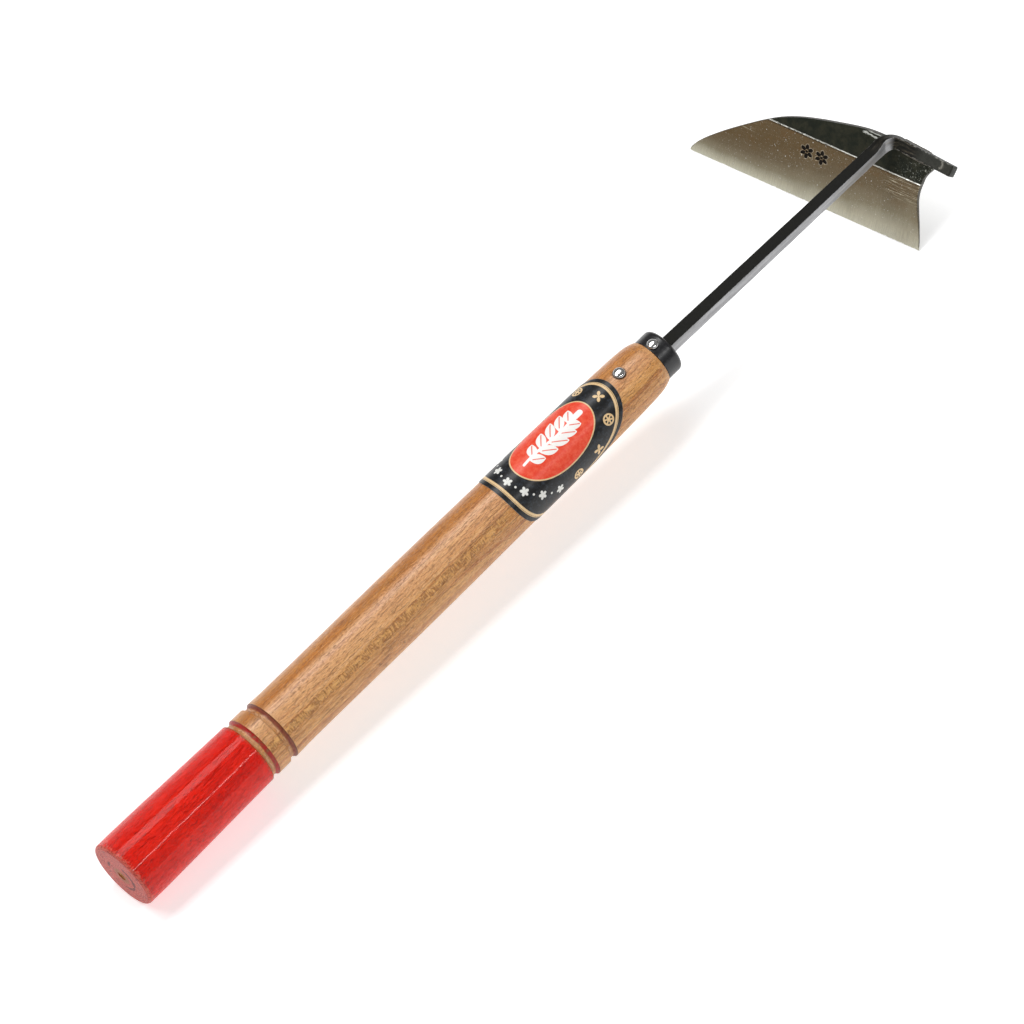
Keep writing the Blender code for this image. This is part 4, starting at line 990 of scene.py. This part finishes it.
def make_bar():
    stations = bar_stations()
    outline = bar_outline(8, 5, 0.17)
    count = len(outline)
    noise, marks = Noise(41), Noise(42)
    points, coords = [], []
    for run, centre, side, top, half_side, half_top in stations:
        u, v = outline[:, 0], outline[:, 1]
        # hammer flats on the faces and worn corners, all inwards
        flat = noise(run * 0.16, u * 0.9 + 5, v * 0.9 + 5) * 0.5 + marks(run * 0.45, u * 1.7 + 9, v * 1.7) * 0.3
        depth = (0.045 + 0.055 * flat) if run > 0.5 else np.zeros(count)
        scale_u, scale_v = half_side - depth, half_top - depth
        points.append(centre + (u * scale_u)[:, None] * side + (v * scale_v)[:, None] * top)
        coords.append(np.stack([np.full(count, run), u, v], -1))
    points, coords = np.vstack(points), np.vstack(coords)
    rows = len(stations)
    # a crescent dent struck near the end of the leg
    end = stations[-1]
    spot = end[1] - LEG_AXIS * 5.6 + end[2] * 2.5
    local = points - spot
    p, q, w = local @ LEG_AXIS, local @ end[3], local @ end[2]
    ring = np.hypot(p + 0.4, q - 0.3)
    dent = np.exp(-((ring - 1.5) / 0.34) ** 2) * (p > -0.2) * (np.abs(w) < 0.7) * (coords[:, 0] > 100)
    points = points - (dent * 0.10)[:, None] * end[2]
    faces = grid_faces(rows, count, True)
    faces.append(tuple(reversed(range(count))))
    faces.append(tuple(range((rows - 1) * count, rows * count)))
    return piece("forged_cranked_bar", points, faces, bar_material(), "neck", {"bar": coords, "dent": dent}, 38)


# --------------------------------------------------------------------- blade
def stamp_field(a, b):
    """Distance to the generic mark struck in the bevel: two plain six-petal rosettes."""
    a, b = np.asarray(a), np.asarray(b)
    best = np.full(a.shape, 9.0)
    for centre in (52.6, 59.8):
        p, q = a - centre, b - 20.4
        for k in range(6):
            turn = math.radians(60 * k + 30)
            along, off = p * math.cos(turn) + q * math.sin(turn), -p * math.sin(turn) + q * math.cos(turn)
            best = np.minimum(best, np.hypot(along - 1.95, off * 1.45) - 1.2)
        best = np.minimum(best, np.hypot(p, q) - 0.6)
    return best


def make_blade():
    spine = curve_through(SPINE, 8)
    spine = np.vstack([[0.0, 0.0], spine])
    heel = curve_through(HEEL, 8)
    heel = np.vstack([heel, [BLADE_LENGTH, 0.0]])
    top = spine[:, 1].max()
    crest = int(np.argmax(spine[:, 1]))
    rising = spine[:crest + 1]
    falling = np.vstack([spine[crest:], heel])
    rows_b = np.concatenate([np.arange(0.0, 0.9, 0.3), np.arange(0.9, 17.0, 0.75), np.arange(17.0, 23.6, 0.14), np.arange(23.6, 26.6, 0.5),
                             [26.7, 26.85, 26.95, 27.05, 27.15, 27.3], np.arange(27.7, 38.0, 0.4), np.arange(38.0, top - 0.05, 0.10), [top - 0.02]])
    order = np.argsort(rising[:, 1])
    left = np.interp(rows_b, np.maximum.accumulate(rising[:, 1]), rising[:, 0])
    right = np.interp(rows_b, falling[::-1, 1], falling[::-1, 0])
    columns = 300
    base = np.linspace(0, 1, columns)
    noise, chips = Noise(51), Noise(52)
    a = left[:, None] + (right - left)[:, None] * base[None, :]
    b = np.repeat(rows_b[:, None], columns, 1)
    # tiny nicks along the cutting edge
    nick = np.clip(chips(a[0] * 1.3, 3.0) - 0.35, 0, 1) * 0.28
    b[0] += nick
    b[1] += nick * 0.4
    thick = EDGE_THICK + (BLADE_THICK - EDGE_THICK) * np.minimum(1.0, rows_b / BEVEL)
    front = np.repeat(thick[:, None], columns, 1)
    hollow = 0.10 * np.sin(np.pi * np.clip(rows_b / BEVEL, 0, 1))[:, None]
    front = front - np.where(b < BEVEL, hollow, 0.0)
    ground = b < BEVEL
    front -= np.where(ground, 0.012 + 0.012 * noise(a * 0.9, b * 0.10, 1.0), 0.0)
    scaled = 0.035 + 0.035 * noise(a * 0.30, b * 0.30, 4.0) + 0.02 * noise(a * 1.2, b * 1.2, 7.0)
    patch = np.clip((a - 96.0) / 4.0, 0, 1) * np.clip((36.0 - b) / 1.2, 0, 1)
    pits = patch * 0.09 * np.clip(noise(a * 1.15, b * 1.15, 2.0) + 0.2, 0, 1)
    front -= np.where(ground, 0.0, np.clip(scaled, 0, 1) + pits)
    mark = stamp_field(a, b)
    front -= 0.16 * np.clip(0.5 - mark / 0.22, 0, 1)
    lip = 0.03 * np.exp(-((mark - 0.28) / 0.12) ** 2)
    front += lip
    front = np.clip(front, 0.12, BLADE_THICK)
    # rounded arris on the free outline
    rim = np.minimum(base, 1 - base)[None, :] * (right - left)[:, None]
    front -= np.where(b > 2, 0.28 * np.clip(1 - rim / 0.45, 0, 1) ** 2, 0)
    back = 0.03 + 0.02 * noise(a * 0.25, b * 0.25, 12.0)
    back = np.where(b < 3, 0.0, back)
    n = a.size

    def place(aa, bb, cc):
        return BLADE_ORIGIN + aa.reshape(-1, 1) * ALONG + bb.reshape(-1, 1) * UP + cc.reshape(-1, 1) * FACE

    points = np.vstack([place(a, b, front), place(a, b, back)])
    rows = len(rows_b)
    faces = grid_faces(rows, columns, False)
    faces += [tuple(reversed(f)) for f in grid_faces(rows, columns, False, n)]
    rim_path = [(0, k) for k in range(columns)] + [(i, columns - 1) for i in range(1, rows)]
    rim_path += [(rows - 1, k) for k in range(columns - 2, -1, -1)] + [(i, 0) for i in range(rows - 2, 0, -1)]
    at = lambda i, k: i * columns + k
    for (i, k), (j, m) in zip(rim_path, rim_path[1:] + rim_path[:1]):
        faces.append((at(j, m), at(i, k), n + at(i, k), n + at(j, m)))
    flat = np.stack([np.concatenate([a.ravel(), a.ravel()]), np.concatenate([b.ravel(), b.ravel()]),
                     np.concatenate([front.ravel(), back.ravel()])], -1)
    is_front = np.concatenate([np.ones(n), np.zeros(n)])
    edge_side = np.where((rim < 0.30) & (b > 1.0), 1.0, 0.0).ravel()
    side = np.concatenate([edge_side * 0.55, edge_side])
    side = np.concatenate([np.where((rim < 0.05) & (b > 1.0), 1.0, 0.0).ravel(), edge_side])
    stamp = np.concatenate([mark.ravel(), np.full(n, 9.0)])
    return piece("ground_blade_plate", points, faces, blade_material(), "blade",
                 {"flat": flat, "front": is_front, "side": side, "stamp": stamp}, 30)


def make_bead(name, node, section, start, end, seed, material):
    """A weld bead along the leg. Its section gives (up the blade, off its front face, may it swell)."""
    noise = Noise(seed)
    dense = []
    for i, (v, c, free) in enumerate(section):
        nv, nc, nfree = section[(i + 1) % len(section)]
        for k in range(3):
            t = k / 3
            dense.append((v + (nv - v) * t, c + (nc - c) * t, free * (1 - t) + nfree * t))
    steps = 110
    points = []
    for i in range(steps + 1):
        k = i / steps
        d = start + (end - start) * k
        near_end = min(k, 1 - k)
        swell = (0.55 + 0.45 * math.sin(math.pi * min(1.0, 3 * near_end + 0.02))) if near_end < 1 / 6 else 1.0
        ripple = abs(math.sin(d * 2.6 + 0.5 * float(noise(d * 0.8)))) ** 1.6
        swell *= 0.93 + 0.06 * ripple + 0.02 * float(noise(d * 0.7, 4.0))
        centre = NECK_CORNER + LEG_AXIS * d
        off = float((centre - BLADE_ORIGIN) @ FACE) - BLADE_THICK
        v0, c0 = section[0][0], section[0][1]
        for v, c, free in dense:
            s = 1 + (swell - 1) * free
            points.append(centre - FACE * off + UP * (v0 + (v - v0) * s) + FACE * (c0 + (c - c0) * s))
    count = len(dense)
    faces = grid_faces(steps + 1, count, True)
    faces.append(tuple(reversed(range(count))))
    faces.append(tuple(range(steps * count, (steps + 1) * count)))
    return piece(name, np.array(points), faces, material, node, None, 50)


# ---------------------------------------------------------------------- pins
def make_pin(name, node, x0, seat, head, depth, material, seed):
    profile = [(seat - depth, 0.0), (seat - depth + 1.4, 0.62), (seat - depth + 2.6, PIN_R)]
    profile += [(seat - depth + 2.6 + (depth - 2.6) * t, PIN_R) for t in (0.25, 0.5, 0.75, 0.97)]
    profile += [(seat, PIN_R + 0.03), (seat, head * 0.75), (seat, head - 0.16), (seat + 0.05, head - 0.04), (seat + 0.14, head)]
    profile += [(seat + 0.14 + (HEAD_HEIGHT - 0.14) * math.sin(math.radians(t)), head * math.cos(math.radians(t)) ** 0.92)
                for t in list(range(6, 86, 5)) + [87.5]]
    profile.append((seat + HEAD_HEIGHT, 0.0))
    count = 72
    points, rows = [], []
    for h, r in profile:
        if r < 1e-6:
            rows.append([len(points)])
            points.append((x0, 0.0, h))
        else:
            rows.append(list(range(len(points), len(points) + count)))
            for k in range(count):
                t = 2 * math.pi * k / count
                points.append((x0 + r * math.cos(t), r * math.sin(t), h))
    faces = []
    for low, high in zip(rows, rows[1:]):
        for k in range(count):
            n = (k + 1) % count
            if len(low) == 1:
                faces.append((low[0], high[n], high[k]))
            elif len(high) == 1:
                faces.append((low[k], low[n], high[0]))
            else:
                faces.append((low[k], low[n], high[n], high[k]))
    points = np.array(points)
    noise = Noise(seed)
    above = points[:, 2] > seat + 0.3
    points[above, 2] -= 0.02 + 0.02 * noise(points[above, 0] * 0.9, points[above, 1] * 0.9, 1.0)
    # painted dark reflection: a darker band round the foot of the head
    painted_dark_foot = np.clip((seat + 0.52 - points[:, 2]) / 0.26, 0, 1)
    return piece(name, points, faces, material, node, {"painted_dark_foot": painted_dark_foot}, 60)


# --------------------------------------------------------------------- label
def label_outline(share):
    share = np.asarray(share, float)
    low = LABEL_START + LABEL_CURVE * np.abs(share) ** 3
    high = LABEL_END - LABEL_ARCH * (1 - np.sqrt(np.maximum(0.0, 1 - share * share)))
    return low, high


def make_label():
    rows, columns = 300, 190
    half_arc = 13.1 * math.radians(LABEL_WRAP)  # for distances on the paper, mm
    share = -np.cos(np.pi * np.arange(rows + 1) / rows)
    low, high = label_outline(share)
    t = np.linspace(0, 1, columns + 1)
    x = low[:, None] + (high - low)[:, None] * t[None, :]
    arc = np.repeat((share * half_arc)[:, None], columns + 1, 1)
    # distance to the outline, measured on the flattened paper
    fine = np.sin(np.linspace(-np.pi / 2, np.pi / 2, 1601))
    lo, hi = label_outline(fine)
    border = np.vstack([np.stack([lo, fine * half_arc], -1), np.stack([hi, fine * half_arc], -1)])
    flat = np.stack([x.ravel(), arc.ravel()], -1)
    edge = np.empty(len(flat))
    for i in range(0, len(flat), 4000):
        block = flat[i:i + 4000]
        edge[i:i + 4000] = np.sqrt(((block[:, None, :] - border[None, :, :]) ** 2).sum(-1).min(1))
    px, pa = x.ravel() - 244.9, arc.ravel() + 0.35
    # the red oval
    rx, ra = 20.6, 13.6
    k0 = np.hypot(px / rx, pa / ra)
    k1 = np.hypot(px / rx ** 2, pa / ra ** 2)
    oval = k0 * (k0 - 1) / np.maximum(k1, 1e-6)
    # inside it, a plain white spray of broad leaves on a stem
    art = np.hypot(np.maximum(np.abs(px + 0.5) - 15.2, 0), pa - 0.5 * np.sin((px + 3.0) * 0.22)) - 0.55
    for k, at in enumerate((-12.6, -7.4, -2.2, 3.0, 8.0)):
        for sign in (1, -1):
            lean = math.radians(38 if sign > 0 else 46)
            reach = (6.4, 7.8, 8.6, 8.0, 6.2)[k]
            cx, ca = px - at - (0.0 if sign > 0 else 1.4), sign * pa
            u = (cx * math.cos(lean) + ca * math.sin(lean)) / reach
            v = -cx * math.sin(lean) + ca * math.cos(lean)
            wide = 2.1 * np.sin(np.pi * np.clip(u, 0, 1)) ** 0.75
            leaf = np.where((u > 0) & (u < 1), np.abs(v) - wide, np.hypot(np.where(u < 0, u, u - 1) * reach, v))
            vein = np.where((u > 0.15) & (u < 0.92), 0.22 - np.abs(v), -9.0)
            art = np.minimum(art, np.maximum(leaf, vein))
    leaf = np.hypot(np.maximum(np.abs(px - 14.6) - 1.3, 0), pa) - 1.25
    art = np.minimum(art, leaf)
    art = np.maximum(art, oval + 1.9)
    # gold wheels and four-petal flowers round the oval towards the blade and along one side
    marks = np.full(len(px), 9.0)
    for k, degrees in enumerate((-84, -56, -28, 2, 31, 62, 90)):
        angle = math.radians(degrees)
        cx, ca = (rx + 5.5) * math.cos(angle), (ra + 6.6) * math.sin(angle)
        ux, ua = math.cos(angle), math.sin(angle)
        p, q = (px - cx) * ux + (pa - ca) * ua, -(px - cx) * ua + (pa - ca) * ux
        if k % 2 == 0:
            leaf = np.abs(np.hypot(p, q) - 2.15) - 0.34
            for spoke in range(3):
                turn = math.radians(60 * spoke)
                w = np.abs(-p * math.sin(turn) + q * math.cos(turn))
                leaf = np.minimum(leaf, np.hypot(w, np.maximum(np.hypot(p, q) - 2.0, 0)) - 0.30)
        else:
            leaf = np.hypot(p, q) - 0.42
            for petal in range(4):
                turn = math.radians(45 + 90 * petal)
                u, v = p * math.cos(turn) + q * math.sin(turn), -p * math.sin(turn) + q * math.cos(turn)
                leaf = np.minimum(leaf, (np.hypot((u - 1.45) / 1.05, v / 0.68) - 1) * 0.68)
        marks = np.minimum(marks, leaf)
    # a white garland of five-petal flowers and dots round it towards the butt
    dashes = np.full(len(px), 9.0)
    for k in range(13):
        angle = math.radians(180 - 66 + 11 * k)
        cx, ca = (rx + 4.7) * math.cos(angle), (ra + 6.4) * math.sin(angle)
        ux, ua = math.cos(angle), math.sin(angle)
        p, q = (px - cx) * ux + (pa - ca) * ua, -(px - cx) * ua + (pa - ca) * ux
        dash = np.hypot(p, q) - 0.50
        if k % 2 == 0:
            for petal in range(5):
                turn = math.radians(72 * petal)
                u, v = p * math.cos(turn) + q * math.sin(turn), -p * math.sin(turn) + q * math.cos(turn)
                dash = np.minimum(dash, (np.hypot((u - 1.20) / 0.78, v / 0.60) - 1) * 0.60)
        dashes = np.minimum(dashes, dash)
    keep = edge < 3.9
    marks[keep] = 9.0
    dashes[keep] = 9.0
    angle = math.radians(LABEL_TURN) + np.repeat((math.radians(LABEL_WRAP) * share)[:, None], columns + 1, 1)
    noise = Noise(61)
    layers = []
    for lift in (CLEAR, CLEAR + 0.15):
        r = grip_radius(x) + lift
        if lift > CLEAR:
            r = r - 0.012 + 0.012 * noise(x * 0.22, arc * 0.22, 3.0) - 0.05 * np.clip(1 - edge.reshape(x.shape) / 0.35, 0, 1)
        layers.append(about_x(x, r, angle).reshape(-1, 3))
    n = x.size
    points = np.vstack(layers)
    faces = [tuple(reversed(f)) for f in grid_faces(rows + 1, columns + 1, False, n)]
    faces += grid_faces(rows + 1, columns + 1, False, 0)
    rim = [(i, 0) for i in range(rows)] + [(rows, j) for j in range(columns)]
    rim += [(i, columns) for i in range(rows, 0, -1)] + [(0, j) for j in range(columns, 0, -1)]
    at = lambda i, j: i * (columns + 1) + j
    for (i, j), (k, m) in zip(rim, rim[1:] + rim[:1]):
        faces.append((n + at(i, j), at(i, j), at(k, m), n + at(k, m)))
    both = lambda v: np.concatenate([v, v])
    return piece("wrapped_label", points, faces, label_material(), "label",
                 {"edge": both(edge), "oval": both(oval), "art": both(art), "marks": both(marks), "dashes": both(dashes)}, 60)


# ------------------------------------------------------------ build the object
make_handle()
make_lacquer()
make_ferrule(ferrule_material())
make_bar()
make_blade()
weld = weld_material()
make_bead("weld_bead_under_leg", "weld_bead_front",
          [(-2.0, 0.2, 0.0), (-4.3, 0.2, 1.0), (-4.25, 0.5, 1.0), (-3.95, 1.2, 1.0), (-3.55, 1.8, 1.0),
           (-3.12, 2.1, 0.0), (-3.36, 1.1, 0.0), (-2.0, 0.42, 0.0)], 5.0, 19.5, 71, weld)
make_bead("weld_bead_behind_leg", "weld_bead_back",
          [(-0.75, -2.25, 0.0), (-0.75, 0.0, 0.0), (1.25, -0.65, 0.0), (1.55, -1.1, 1.0), (1.3, -1.8, 1.0),
           (0.5, -2.2, 1.0)], 3.5, 19.0, 72, weld)
plating = pin_material()
make_pin("domed_pin_in_wood", "handle_pin", HANDLE_PIN_X, float(np.interp(HANDLE_PIN_X, [284.0, 285.0], [12.2437, 12.21])) + CLEAR, 2.5, 19.0, plating, 81)
make_pin("domed_pin_in_ferrule", "ferrule_pin", FERRULE_PIN_X, FERRULE_R + CLEAR, 2.35, 17.0, plating, 82)
make_label()


# ------------------------------------------------------- floor, light, camera
def floor_and_light():
    mesh = bpy.data.meshes.new("floor")
    size = 6.0
    mesh.from_pydata([(-size, -size, 0), (size, -size, 0), (size, size, 0), (-size, size, 0)], [], [(0, 1, 2, 3)])
    floor = bpy.data.objects.new("floor", mesh)
    s = Shader("pale_floor")
    s.bsdf.inputs["Base Color"].default_value = (0.80, 0.80, 0.80, 1)
    s.bsdf.inputs["Roughness"].default_value = 0.9
    s.bsdf.inputs["Specular IOR Level"].default_value = 0.0
    s.bsdf.inputs["Emission Color"].default_value = (1.0, 1.0, 1.0, 1)
    s.bsdf.inputs["Emission Strength"].default_value = 0.50
    mesh.materials.append(s.material)
    bpy.context.scene.collection.objects.link(floor)
    floor.location.z = -0.0004
    world = bpy.data.worlds.new("studio")
    bpy.context.scene.world = world
    world.use_nodes = True
    background = next(n for n in world.node_tree.nodes if n.type == "BACKGROUND")
    background.inputs[0].default_value = (1.0, 1.0, 1.0, 1)
    background.inputs[1].default_value = 0.22

    along = REST[:, :3] @ np.array([1.0, 0, 0])

    def softbox(name, angle, distance, along_shift, length, width, power):
        """A long soft box beside the handle. angle is round the handle from its top, as on the pins."""
        t = math.radians(angle)
        direction = REST[:, :3] @ np.array([0.0, -math.sin(t), math.cos(t)])
        centre = REST[:, :3] @ (np.array([170.0 + along_shift, 0, 0]) * MM) + REST[:, 3]
        light = bpy.data.lights.new(name, "AREA")
        light.shape = "RECTANGLE"
        light.size, light.size_y = length, width
        light.energy = power
        obj = bpy.data.objects.new(name, light)
        bpy.context.scene.collection.objects.link(obj)
        back = unit(direction)
        side = unit(along - back * (along @ back))
        up = np.cross(back, side)
        obj.matrix_world = Matrix((
            (side[0], up[0], back[0], centre[0] + direction[0] * distance),
            (side[1], up[1], back[1], centre[1] + direction[1] * distance),
            (side[2], up[2], back[2], centre[2] + direction[2] * distance), (0, 0, 0, 1)))
        return obj

    softbox("key_soft_box", -25.0, 1.35, 0.0, 1.8, 0.52, 17.2)
    softbox("front_strip", 38.0, 1.9, 140.0, 1.5, 0.05, 9.0)
    softbox("side_fill", 100.0, 1.4, 60.0, 1.5, 0.8, 12.0)


def make_camera():
    camera = bpy.data.cameras.new("photo_camera")
    camera.sensor_width = 36.0
    camera.lens = 408.35114909698285
    camera.clip_start, camera.clip_end = 0.05, 50.0
    obj = bpy.data.objects.new("photo_camera", camera)
    bpy.context.scene.collection.objects.link(obj)
    right = (0.6950952570913544, -0.7003285357022987, -0.16242691656660585)
    up = (0.6397380707058542, 0.4994690026497676, 0.5841796679725706)
    back = (-0.327990490436136, -0.5099712119183044, 0.7952053584137626)
    place = (-1.501918435401099, -2.3539716193443008, 3.6515064840643556)
    obj.matrix_world = Matrix([(right[i], up[i], back[i], place[i]) for i in range(3)] + [(0, 0, 0, 1)])
    bpy.context.scene.camera = obj


floor_and_light()
make_camera()
bpy.context.scene.view_settings.view_transform = "Standard"
bpy.context.scene.view_settings.look = "None"
bpy.context.view_layer.update()
